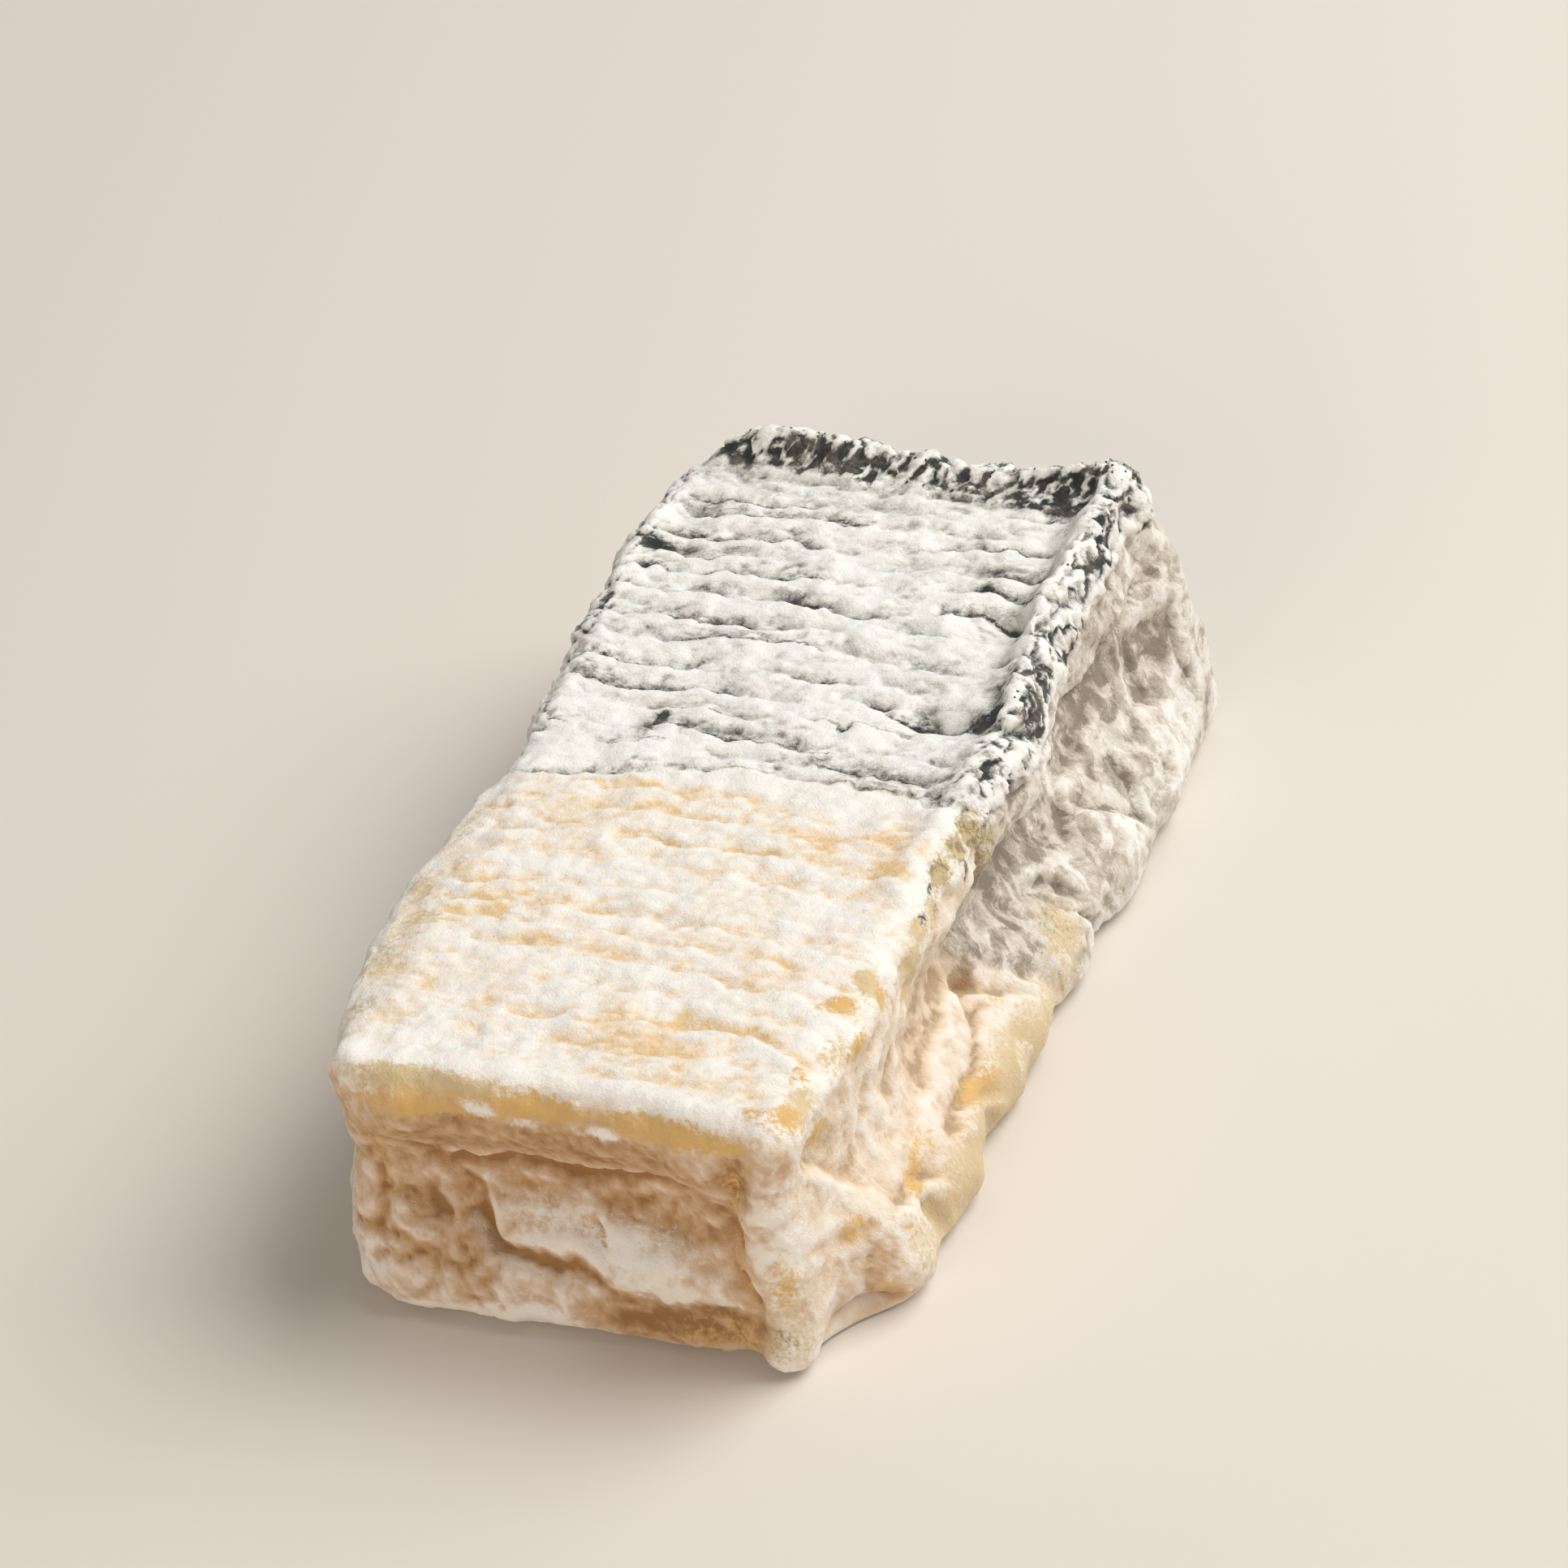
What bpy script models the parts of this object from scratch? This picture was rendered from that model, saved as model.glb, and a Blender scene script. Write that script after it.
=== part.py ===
"""A ripened goat cheese brick, one half plain and one half ash-coated, lying on its base.

Metres. +Z up, +X across, +Y from the plain end to the ash end. The origin is at the centre of the
bounding box's underside.

The brick starts as a box with a fine grid on every side. Its edges are rounded, its walls, ends and
top are drawn to smooth curves, and the rolls, folds, creases and lumps of the rind are then raised
and sunk on it.
"""

import bmesh
import bpy
import numpy as np

MM = 0.001

# The box that the brick is drawn from, and the cells along its width, length and height.
HALF_WIDTH = 38 * MM
HALF_LENGTH = 77 * MM
HEIGHT = 42 * MM
CELLS = (20, 104, 13)
EDGE_RADIUS = 5.5 * MM
TOP_RADIUS = 4.5 * MM
FOOT_RADIUS = 3.0 * MM

# How far each long wall reaches from the middle, as (place along the length, reach): at the rim of the
# top, at the hollow waist and at the foot that spreads over the board.
RIGHT_RIM = (
    (-77, 36.5), (-60, 36.5), (-35, 37.5), (-11, 38.5), (-5, 39), (4, 39), (12, 41),
    (20, 40), (30, 38.5), (40, 36.5), (52, 37.5), (64, 37.5), (76, 37.5),
)  # fmt: skip
RIGHT_WAIST = (
    (-77, 35), (-60, 36.5), (-48, 36.5), (-30, 35.5), (-14, 33), (0, 35), (30, 35.5), (58, 38.5), (70, 43.5),
    (76, 45),
)  # fmt: skip
RIGHT_FOOT = (
    (-80, 36.8), (-73, 37.2), (-68, 40.6), (-62, 46.0), (-56, 46.9), (-51.5, 45.5), (-47, 46.9), (-38, 46.6),
    (-29, 44.2), (-22, 45.6), (-14, 45.2), (-8, 46), (0.5, 44.5), (6, 46), (14, 46), (20, 45.6), (28, 47.3),
    (38, 47.4), (48, 48.2), (58, 46.9), (68, 47.2), (76, 46.4),
)  # fmt: skip
LEFT_RIM = (
    (-77, 34.2), (-70, 36.3), (-60, 38.4), (-50, 40.8), (-42, 40.7), (-28, 40), (-18, 38.3), (-8, 36.9),
    (0, 36.1), (8, 37.2), (16, 36.8), (24, 37.6), (35, 38.6), (50, 39.3), (60, 38.5), (70, 36), (77, 31),
)  # fmt: skip
LEFT_WAIST = ((-77, 34), (-60, 36.5), (-30, 36), (0, 34), (30, 35.5), (60, 37), (77, 36))
LEFT_FOOT = (
    (-80, 35.5), (-70, 39), (-52, 43), (-40, 42.5), (-26, 45.5), (-8, 43.5), (12, 46), (34, 44.5), (60, 46),
    (76, 44),
)  # fmt: skip

# How far each end reaches, as (place across the width, reach).
NEAR_RIM = ((-36, 78), (-28, 79.4), (-18, 78.2), (0, 77), (12, 77.6), (25, 79), (36, 78))
NEAR_WAIST = ((-36, 77), (-26, 75), (-12, 73.6), (12, 73.6), (26, 76), (33, 80), (38, 78))
NEAR_FOOT = (
    (-38, 78.2), (-28, 80.9), (-20, 81), (-10, 81.8), (0, 80.8), (20, 80.8), (27, 79.5), (33, 80), (38, 77.5),
)  # fmt: skip
FAR_RIM = ((-36, 74), (-20, 76), (0, 76.8), (20, 77), (36, 78))
FAR_WAIST = ((-36, 75), (0, 73.5), (20, 74), (38, 78))
FAR_FOOT = ((-40, 76), (-10, 77.5), (12, 76.5), (40, 78.5))

# How high the rims stand over the field of the top.
FIELD_HEIGHT = 42 * MM
FAR_LIP = (
    (-38, -0.5), (-32, 4), (-26, 6.3), (-18, 6.4), (-8, 5.1), (0, 4.2), (12, 3), (20, 3.2), (27, 5), (32, 4.4),
    (38, 1.8),
)  # fmt: skip
RIGHT_LIP = (
    (-77, 1.8), (-66, 0.2), (-45, -0.6), (-30, 0.2), (-18, 1.4), (-10, 2.2), (-4, 2.4), (2, 3.4),
    (8, 2.8), (14, 3.8), (22, 4.4), (30, 3.6), (40, 4), (52, 4.6), (64, 4.4), (76, 2.2),
)  # fmt: skip
LEFT_LIP = ((-77, 0.6), (-60, -0.4), (-40, -0.8), (0, 0), (17, 1.4), (30, 1), (50, 1.6), (66, 1), (76, -0.5))
NEAR_LIP = ((-38, 1.4), (-28, 1.4), (-12, 1.6), (0, 1), (18, 1.8), (28, 2), (38, 1.4))
LIP_WIDTH = 3.3 * MM
LIP_INSET = 3.6 * MM

# The crevices that the draining mat left across the top, from the ash end to the plain end: the places of each
# along the length, at the places across the width named first, and its depth.
CREVICE_PLACES = (-38, -26, -14, -2, 10, 22, 34)
CREVICES = (
    ((60, 59.5, 62, 62.5, 62, 64, 66), 0.7),
    ((54, 57, 58, 58.5, 58.5, 59, 61), 0.7),
    ((50, 50.5, 52, 51.5, 54, 56.5, 55), 1.1),
    ((45, 46, 47.5, 47.5, 49, 50, 49), 0.8),
    ((41, 42, 43, 43.5, 44, 46, 42), 0.9),
    ((36, 36.5, 37, 37, 37.5, 40.5, 37), 1.0),
    ((31, 31, 30.5, 32, 33.5, 34, 34), 0.9),
    ((26, 25.5, 26.5, 28, 27, 27, 28), 0.8),
    ((19, 19, 19.5, 20.5, 20.5, 21, 21), 0.8),
    ((14, 14, 15, 15, 16.5, 14.5, 14.5), 1.1),
    ((8, 8.5, 10, 10, 10.5, 11.5, 11), 0.8),
    ((3, 3.5, 5, 5.5, 4, 5, 4), 0.8),
    ((-9, -8, -5.5, -2.5, -1.5, -2.5, -4.5), 1.2),
    ((-17, -15, -14, -14, -14.5, -15, -17), 0.7),
    ((-22, -21, -20.5, -20, -20, -21, -22), 1.1),
    ((-27, -26.5, -26, -25.5, -25.5, -26.5, -28), 0.6),
    ((-33, -33, -32, -31, -31, -32, -34), 0.8),
    ((-38, -38, -37, -36.5, -37, -38, -39), 1.1),
    ((-43, -42, -41.5, -41, -41.5, -43, -45), 0.9),
    ((-48, -46.5, -46, -46.5, -47, -48, -50), 1.1),
    ((-53, -53, -52.5, -52, -52.5, -53, -55), 0.6),
    ((-60, -59.5, -60, -60, -58, -57.5, -61), 1.1),
    ((-66, -66, -65.5, -65, -64, -64, -66), 0.7),
)  # fmt: skip
CREVICE_NEAR_SIDE = 0.9 * MM
CREVICE_FAR_SIDE = 2.4 * MM
ROLL_HEIGHT = 0.45 * MM
ROLL_SIZE = (9 * MM, 6 * MM, 9 * MM)

# The sagging folds of the walls and the thin ridges between their hollows on the ash half.
FOLD_SIZE = (15 * MM, 20 * MM, 10 * MM)
FOLD_DEPTH = 0.9 * MM
SAG_SIZE = (13 * MM, 15 * MM, 9 * MM)
SAG_DEPTH = 1.0 * MM
DRAPE_SIZE = (11 * MM, 9 * MM, 17 * MM)
DRAPE_HEIGHT = 0.8 * MM

# The lumps of the near end and of the foot, and the dimples of the whole rind.
END_LUMP_SIZE = (8 * MM, 8 * MM, 6.5 * MM)
END_LUMP_HEIGHT = 0.9 * MM
LUMP_SIZE = 13 * MM
LUMP_HEIGHT = 1.0 * MM
DIMPLE_SIZE = 5.5 * MM
DIMPLE_DEPTH = 0.8 * MM

# Swellings and hollows of the rind: centre, radii across, lengthways and upwards, and height.
SWELLINGS = (
    ((33.5, -79.5, 4), (5.5, 5, 5.5), 2.2),  # the round foot under the near right corner
    ((41.5, -72, 0), (5.5, 6.5, 5.5), -7.0),  # the notch between it and the right wall's foot
    ((-36, -78, 5), (7, 6, 5), 0.3),  # the toe of the near left corner
    ((34, -79, 22), (4, 6, 17), 1.8),  # the rib up the near right corner
    ((12, -76, 15), (9, 6, 6), 1.8),  # swellings of the near end
    ((-3, -76, 20), (8, 6, 6), 1.6),
    ((-26, -77, 17), (5, 6, 9), 1.4),
    ((-12, -79, 8), (9, 6, 5), 1.0),
    ((15, -82, 6), (11, 5, 4), -2.0),  # the hollow over the near end's foot
    ((-36, -71, 40), (6, 8, 6), 0.1),  # the near left shoulder
    ((44, 24, 13), (6, 7, 8), 1.6),  # swellings of the right wall
    ((45, 50, 14), (6, 8, 8), 1.4),
    ((44, -14, 12), (6, 7, 8), 1.0),
    ((45, -40, 12), (6, 8, 8), 0.8),
    ((44, -60, 13), (6, 5, 9), 1.0),
    ((39.5, 76, 39), (5, 5, 5), 3.6),  # the far right shoulder under the rim
    ((44, 77, 28), (4, 4, 4), -0.8),
    ((40, 62, 22), (7, 6, 9), -1.2),  # hollows of the right wall
    ((38, 36, 27), (6, 8, 5), -1.6),
    ((38, 8, 24), (6, 9, 7), -1.6),
    ((37, -30, 28), (6, 8, 8), -1.2),
    ((37, -69, 32), (6, 6, 8), -2.2),
    ((29, 38, 42), (6, 4, 4), -1.6),  # hollows of the top beside the right rim
    ((27, 15, 42), (8, 2.6, 4), -1.6),
    ((-30, 57, 42), (5, 4, 4), -1.0),
    ((38, 60, 45), (3.4, 5, 5), 0.9),  # the lobes of the ash rim
    ((38, 44, 44), (4, 5, 6), 1.0),
    ((38.5, 21, 45), (3.4, 5, 5), 1.1),
    ((40, 5, 42), (4, 6, 7), 1.0),
    ((40, -13, 41), (3.4, 5, 6), 0.8),
    ((46, 28, 11), (5, 5, 5), 1.2),  # the lump of the right wall's foot
)

# Creases of the rind: the line of each, its depth and its width.
CREASES = (
    (((37, 33, 48), (41, 27, 40), (40, 20, 33), (40, 11, 31), (39, 4, 29), (38, 0, 26), (38, -5, 21)), 3, 1.8),
    (((38, -6, 44), (37, -8, 34), (36, -12, 25), (38, -17, 15), (41, -21, 10)), 2.6, 2.0),
    (((37, 76, 36), (38, 62, 30), (38, 52, 30), (38, 40, 31), (39, 31, 30)), 1.4, 1.8),
    (((38, -49, 26), (41, -40, 19), (44, -33, 13), (46, -28, 4)), 1.8, 1.7),
    (((38, -70, 27), (41, -60, 19), (44, -55, 13), (46, -51, 4)), 1.8, 1.7),
    (((38, -14, 24), (41, -7, 16), (45, 0, 7)), 2.2, 1.6),
    (((40, 8, 18), (43, 14, 13), (46, 17, 4)), 2.0, 1.6),
    (((40, -34, 36), (38, -38, 28), (38, -36, 20)), 1.0, 1.8),
    (((28, -80, 37), (27, -76, 28), (27, -76, 18), (29, -80, 9)), 2.2, 1.8),
    (((-26, -77, 31), (-22, -77, 27), (-18, -75, 25), (-8, -74, 28), (3, -73, 25), (20, -76, 29)), 1.6, 1.7),
    (((-16, -76, 24), (-14, -77, 17), (-11, -78, 13), (-6, -80, 12), (0, -79, 12), (5, -79, 10)), 2.2, 1.7),
    (((-30, -77, 30), (-29, -77, 20), (-30, -79, 10)), 1.2, 1.8),
    (((5, -75, 22), (4, -77, 17), (7, -78, 12)), 1.2, 1.6),
    (((33, 36, 45), (37, 38, 47), (42, 44, 38)), 1.8, 1.4),  # the pinches between the lobes of the ash rim
    (((33, 12, 44), (37, 12, 46), (41, 16, 40)), 2.2, 1.5),
    (((37, -5, 46), (40, -6, 43), (41, -7, 38)), 1.4, 1.4),
)

RIND_COLOUR = (0.86, 0.80, 0.70, 1.0)


def gradient_noise(points, seed):
    """Smooth noise from about -1 to 1 at each point, with hills about one unit across."""
    cell = np.floor(points).astype(np.int64)
    inside = points - cell
    ease = inside**3 * (inside * (inside * 6 - 15) + 10)
    total = np.zeros(len(points))
    for corner in np.ndindex(2, 2, 2):
        at = (cell + corner).astype(np.uint32)
        mixed = at[:, 0] * np.uint32(374761393) + at[:, 1] * np.uint32(668265263)
        mixed += at[:, 2] * np.uint32(2246822519) + np.uint32(seed * 97531 + 1)
        mixed = (mixed ^ (mixed >> np.uint32(13))) * np.uint32(1274126177)
        mixed ^= mixed >> np.uint32(16)
        slope = np.stack([(mixed >> np.uint32(s) & np.uint32(1023)) / 511.5 - 1 for s in (0, 10, 20)], 1)
        share = np.where(corner, ease, 1 - ease).prod(axis=1)
        total += share * (slope * (inside - corner)).sum(axis=1)
    return total * 1.5


def fractal_noise(points, seed, octaves=3):
    """Noise with finer and finer hills added at half the height."""
    return sum(gradient_noise(points * 2.03**n, seed + n) * 0.5**n for n in range(octaves))


def creased_noise(points, seed, octaves=2):
    """Rounded swellings, near 1, that meet in sharp creases, near 0."""
    return sum(np.abs(gradient_noise(points * 1.9**n, seed + n)) * 0.55**n for n in range(octaves))


def along(stations, place):
    """The value at each place, in metres, on a smooth curve through (place, value) stations in millimetres."""
    places, values = np.array(stations, float).T * MM
    slopes = np.gradient(values, places)
    place = np.clip(place, places[0], places[-1])
    i = np.clip(np.searchsorted(places, place) - 1, 0, len(places) - 2)
    step = places[i + 1] - places[i]
    t = (place - places[i]) / step
    start = (1 + 2 * t) * (1 - t) ** 2 * values[i] + t * (1 - t) ** 2 * step * slopes[i]
    return start + t**2 * (3 - 2 * t) * values[i + 1] + t**2 * (t - 1) * step * slopes[i + 1]


def smooth_step(low, high, value):
    """0 below low, 1 above high, and an even rise between."""
    t = np.clip((value - low) / (high - low), 0, 1)
    return t * t * (3 - 2 * t)


def bell(value, centre, width):
    """1 at the centre, falling to nothing about two widths away."""
    return np.exp(-(((value - centre) / width) ** 2))


def wall_reach(foot, waist, rim, level):
    """The reach of a wall at a level from 0, the base, to 1, the top: spread foot, hollow waist and rim."""
    to_waist = smooth_step(0.12, 0.58, level)
    to_rim = smooth_step(0.58, 0.84, level)
    return foot + (waist - foot) * to_waist + (rim - waist) * to_rim


def grid_box(name):
    """A cube primitive cut into the cells."""
    bpy.ops.mesh.primitive_cube_add(size=2)
    box = bpy.context.active_object
    box.name = name
    box.data.name = name
    mesh = bmesh.new()
    mesh.from_mesh(box.data)
    for axis in (1, 0, 2):
        lines = [e for e in mesh.edges if abs((e.verts[0].co - e.verts[1].co)[axis]) > 0.5]
        bmesh.ops.subdivide_edges(mesh, edges=lines, cuts=CELLS[axis] - 1)
    mesh.to_mesh(box.data)
    mesh.free()
    return box


def rounded(unit):
    """The cube's points with its edges and corners rounded, as shares of the half sizes."""
    half = np.array([HALF_WIDTH, HALF_LENGTH, HEIGHT / 2])
    points = unit * half
    radius = np.full(points.shape, EDGE_RADIUS)
    radius[:, 2] = np.where(points[:, 2] > 0, TOP_RADIUS, FOOT_RADIUS)
    core = np.clip(points, radius - half, half - radius)
    out = (points - core) / radius
    length = np.linalg.norm(out, axis=1, keepdims=True)
    return (core + out / np.maximum(length, 1e-9) * radius) / half


def lips(x, y):
    """How high the rims along the four edges of the top stand over its field."""
    crest_x = HALF_WIDTH - LIP_INSET
    crest_y = HALF_LENGTH - LIP_INSET
    return (
        along(RIGHT_LIP, y) * bell(x, crest_x, LIP_WIDTH)
        + along(LEFT_LIP, y) * bell(x, -crest_x, LIP_WIDTH)
        + along(FAR_LIP, x) * bell(y, crest_y, LIP_WIDTH)
        + along(NEAR_LIP, x) * bell(y, -crest_y, LIP_WIDTH)
    )


def drawn(shares):
    """The points moved to the brick's own walls, ends and top."""
    across, lengthways = shares[:, 0], shares[:, 1]
    level = (shares[:, 2] + 1) / 2
    x, y = across * HALF_WIDTH, lengthways * HALF_LENGTH
    right = wall_reach(along(RIGHT_FOOT, y), along(RIGHT_WAIST, y), along(RIGHT_RIM, y), level)
    left = wall_reach(along(LEFT_FOOT, y), along(LEFT_WAIST, y), along(LEFT_RIM, y), level)
    near = wall_reach(along(NEAR_FOOT, x), along(NEAR_WAIST, x), along(NEAR_RIM, x), level)
    far = wall_reach(along(FAR_FOOT, x), along(FAR_WAIST, x), along(FAR_RIM, x), level)
    new_x = across * np.where(across > 0, right, left)
    new_y = lengthways * np.where(lengthways > 0, far, near)
    new_z = level * (FIELD_HEIGHT + lips(x, y))
    return np.stack([new_x, new_y, new_z], 1)


def mat_relief(points):
    """The height of the rolls of rind across the top, with the crevices between them."""
    flat = points * (1, 1, 0)
    wander = 1.5 * MM * gradient_noise(flat / (9 * MM), 3) + 0.9 * MM * gradient_noise(flat / (3.5 * MM), 4)
    sunk = np.zeros(len(points))
    for places, depth in CREVICES:
        beyond = points[:, 1] + wander - along(tuple(zip(CREVICE_PLACES, places)), points[:, 0])
        side = np.where(beyond > 0, CREVICE_FAR_SIDE, CREVICE_NEAR_SIDE)
        stretched = points / np.array([11 * MM, 3 * MM, 30 * MM])
        uneven = np.clip(0.75 + 1.3 * gradient_noise(stretched, int(abs(places[0]) * 7)), 0.1, 1.6)
        sunk += depth * MM * uneven * np.exp(-((np.abs(beyond) / side) ** 1.3))
    deeper = 0.7 + 0.6 * smooth_step(-10 * MM, 0, points[:, 1])
    return ROLL_HEIGHT * (1 + gradient_noise(points / np.array(ROLL_SIZE), 8)) - deeper * sunk


def wall_folds(points):
    """The height of the sagging folds in the walls, drawn out along the brick."""
    bent = points / np.array(FOLD_SIZE) + 0.45 * fractal_noise(points / (16 * MM), 11)[:, None]
    folds = FOLD_DEPTH * (np.minimum(creased_noise(bent, 12), 0.9) - 0.42)
    return folds + SAG_DEPTH * gradient_noise(points / np.array(SAG_SIZE), 13)


def drapes(points):
    """The height of the soft ridges between the sagging hollows of the ash half's walls."""
    bent = points / np.array(DRAPE_SIZE) + 0.5 * fractal_noise(points / (10 * MM), 57)[:, None]
    return DRAPE_HEIGHT * (bell(gradient_noise(bent, 58), 0, 0.2) - 0.25)


def end_lumps(points):
    """The height of the soft lumps of the near end."""
    bent = points / np.array(END_LUMP_SIZE) + 0.3 * fractal_noise(points / (7 * MM), 63)[:, None]
    return END_LUMP_HEIGHT * (np.minimum(creased_noise(bent, 65), 0.8) - 0.4)


def swellings(points):
    """The height of the listed swellings and hollows."""
    total = np.zeros(len(points))
    for centre, radii, height in SWELLINGS:
        away = (points / MM - centre) / radii
        total += height * MM * np.exp(-(away**2).sum(axis=1))
    return total


def creases(points):
    """The depth of the listed creases."""
    total = np.zeros(len(points))
    for line, depth, width in CREASES:
        stops = np.array(line, float) * MM
        nearest = np.full(len(points), 1.0)
        ends = np.zeros(len(points))
        for n, (start, end) in enumerate(zip(stops[:-1], stops[1:])):
            span = end - start
            share = np.clip((points - start) @ span / (span @ span), 0, 1)
            away = np.linalg.norm(points - start - share[:, None] * span, axis=1)
            ends = np.where(away < nearest, (n + share) / (len(stops) - 1), ends)
            nearest = np.minimum(nearest, away)
        shallow_ends = np.minimum(1, 0.35 + 3 * np.minimum(ends, 1 - ends))
        total += depth * MM * shallow_ends * bell(nearest, 0, width * MM)
    return total


def skin_of(mesh_data):
    """The points and the outward directions of a mesh, as two arrays."""
    count = len(mesh_data.vertices)
    points, out = np.empty(count * 3), np.empty(count * 3)
    mesh_data.vertices.foreach_get("co", points)
    mesh_data.vertex_normals.foreach_get("vector", out)
    return points.reshape(-1, 3), out.reshape(-1, 3)


def set_points(mesh_data, points):
    """Moves the points of a mesh."""
    mesh_data.vertices.foreach_set("co", points.ravel())
    mesh_data.update()


def raise_relief(mesh_data):
    """Raises and sinks the rind along its outward direction, and keeps the base flat."""
    points, out = skin_of(mesh_data)
    x, y, z = points.T
    on_top = smooth_step(0.55, 0.9, out[:, 2])
    inside_rims = smooth_step(1.5 * MM, 6 * MM, HALF_WIDTH - np.abs(x))
    inside_rims *= smooth_step(3 * MM, 9 * MM, HALF_LENGTH - np.abs(y))
    low = 1 - smooth_step(6 * MM, 16 * MM, z)
    near = smooth_step(0.3, 0.75, -out[:, 1]) * (1 - smooth_step(-74 * MM, -68 * MM, y))
    under_lip = near * smooth_step(27 * MM, 33 * MM, z)
    ash_walls = smooth_step(-8 * MM, -2 * MM, y) * (1 - on_top) * (1 - smooth_step(33 * MM, 38 * MM, z))
    relief = mat_relief(points) * on_top * inside_rims
    relief += wall_folds(points) * (1 - on_top) * (1 - 0.6 * low) * (1 - 0.7 * under_lip)
    relief += LUMP_HEIGHT * gradient_noise(points / LUMP_SIZE, 21) * (1 - on_top) * low
    dimples = DIMPLE_DEPTH * gradient_noise(points / DIMPLE_SIZE, 31)
    relief += dimples * (1 - 0.4 * on_top) * (1 - 0.5 * ash_walls)
    relief += drapes(points) * ash_walls + end_lumps(points) * (near - under_lip)
    relief += swellings(points) - creases(points)
    relief *= 1 - smooth_step(0.6, 0.95, -out[:, 2])
    points = points + out * relief[:, None]
    points[:, 2] = np.maximum(points[:, 2], 0)
    set_points(mesh_data, points)


def centre_on_base(mesh_data):
    """Moves the mesh so that the origin is at the middle of its bounding box's underside."""
    points, _ = skin_of(mesh_data)
    low, high = points.min(axis=0), points.max(axis=0)
    set_points(mesh_data, points - [(low[0] + high[0]) / 2, (low[1] + high[1]) / 2, low[2]])


def join_flat_base(mesh_data):
    """Joins the level faces of the underside into one."""
    mesh = bmesh.new()
    mesh.from_mesh(mesh_data)
    flat = [f for f in mesh.faces if max(v.co.z for v in f.verts) < 1e-6]
    bmesh.ops.dissolve_faces(mesh, faces=flat, use_verts=True)
    mesh.to_mesh(mesh_data)
    mesh.free()


def rind_material():
    """A dry, pale rind."""
    material = bpy.data.materials.new("rind")
    material.use_nodes = True
    shader = material.node_tree.nodes["Principled BSDF"]
    shader.inputs["Base Color"].default_value = RIND_COLOUR
    shader.inputs["Roughness"].default_value = 0.85
    shader.inputs["Metallic"].default_value = 0.0
    return material


def cheese_brick():
    """The whole brick, one closed body."""
    brick = grid_box("cheese_brick")
    unit, _ = skin_of(brick.data)
    set_points(brick.data, drawn(rounded(unit)))
    raise_relief(brick.data)
    centre_on_base(brick.data)
    join_flat_base(brick.data)
    brick.data.shade_smooth()
    brick.data.materials.append(rind_material())
    return brick


def main():
    for old in list(bpy.data.objects):
        bpy.data.objects.remove(old)
    collection = bpy.data.collections.new("goat_cheese_brick")
    bpy.context.scene.collection.children.link(collection)
    brick = cheese_brick()
    for other in list(brick.users_collection):
        other.objects.unlink(brick)
    collection.objects.link(brick)


main()
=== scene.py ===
"""The looks of a ripened goat cheese brick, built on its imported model.

The near half of the brick has a plain cream rind, and the far half is dusted with ash under a white
bloom. The rind is drawn from the same sizes as the solid and then gets its fine crevices, wrinkles
and crumbs of ash. Lengths in the lists below are in millimetres, in the drawing's own coordinates:
+X across, +Y from the plain end to the ash end, and +Z up from the board.
"""

from __future__ import annotations

import logging
from dataclasses import dataclass, field
from enum import Enum

import bmesh
import bpy
import numpy as np
from mathutils import Matrix, Vector


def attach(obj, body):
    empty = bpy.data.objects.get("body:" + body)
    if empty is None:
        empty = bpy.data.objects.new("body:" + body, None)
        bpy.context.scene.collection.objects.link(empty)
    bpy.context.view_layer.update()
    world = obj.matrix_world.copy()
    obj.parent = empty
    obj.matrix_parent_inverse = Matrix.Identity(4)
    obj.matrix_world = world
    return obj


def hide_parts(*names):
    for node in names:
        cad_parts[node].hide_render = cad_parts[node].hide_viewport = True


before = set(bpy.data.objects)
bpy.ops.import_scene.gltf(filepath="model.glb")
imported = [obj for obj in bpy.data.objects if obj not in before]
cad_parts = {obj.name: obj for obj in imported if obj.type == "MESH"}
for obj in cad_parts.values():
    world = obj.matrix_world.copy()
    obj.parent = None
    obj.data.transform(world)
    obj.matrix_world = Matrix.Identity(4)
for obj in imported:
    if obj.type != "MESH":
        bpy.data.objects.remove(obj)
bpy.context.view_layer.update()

MM = 0.001
Array = np.ndarray
Stations = tuple[tuple[float, float], ...]
Place = tuple[float, float, float]
Colour = tuple[float, float, float]

# The middle of the solid's box in the drawing's coordinates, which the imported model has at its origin.
FRAME_SHIFT: Place = (1.090, -1.921, 0.0)

log = logging.getLogger("cheese")


class Mark(Enum):
    """The tints that the rind carries, each a value from 0 to 1 on every point of its mesh."""

    ASH = "ash"
    # The soot mark holds the bare ash, with painted shade of the top's near-facing slopes added to it.
    SOOT = "soot"
    # HOLLOW and FOLD hold how deep each point lies in a small and in a wide hollow; the colours darken with
    # them, partly as bare rind and partly as painted shade.
    HOLLOW = "hollow"
    FOLD = "fold"
    BLOOM = "bloom"
    YELLOW = "yellow"
    ORANGE = "orange"
    OLIVE = "olive"
    TAN = "tan"
    WALL = "wall"
    WAXY = "waxy"
    OCHRE = "ochre"
    # The near end below its lip, which takes tones that are darkened and warmed partly as painted shade.
    FRONT = "front"
    EDGE = "edge"
    LINE = "line"
    CRUMB = "crumb"


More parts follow.
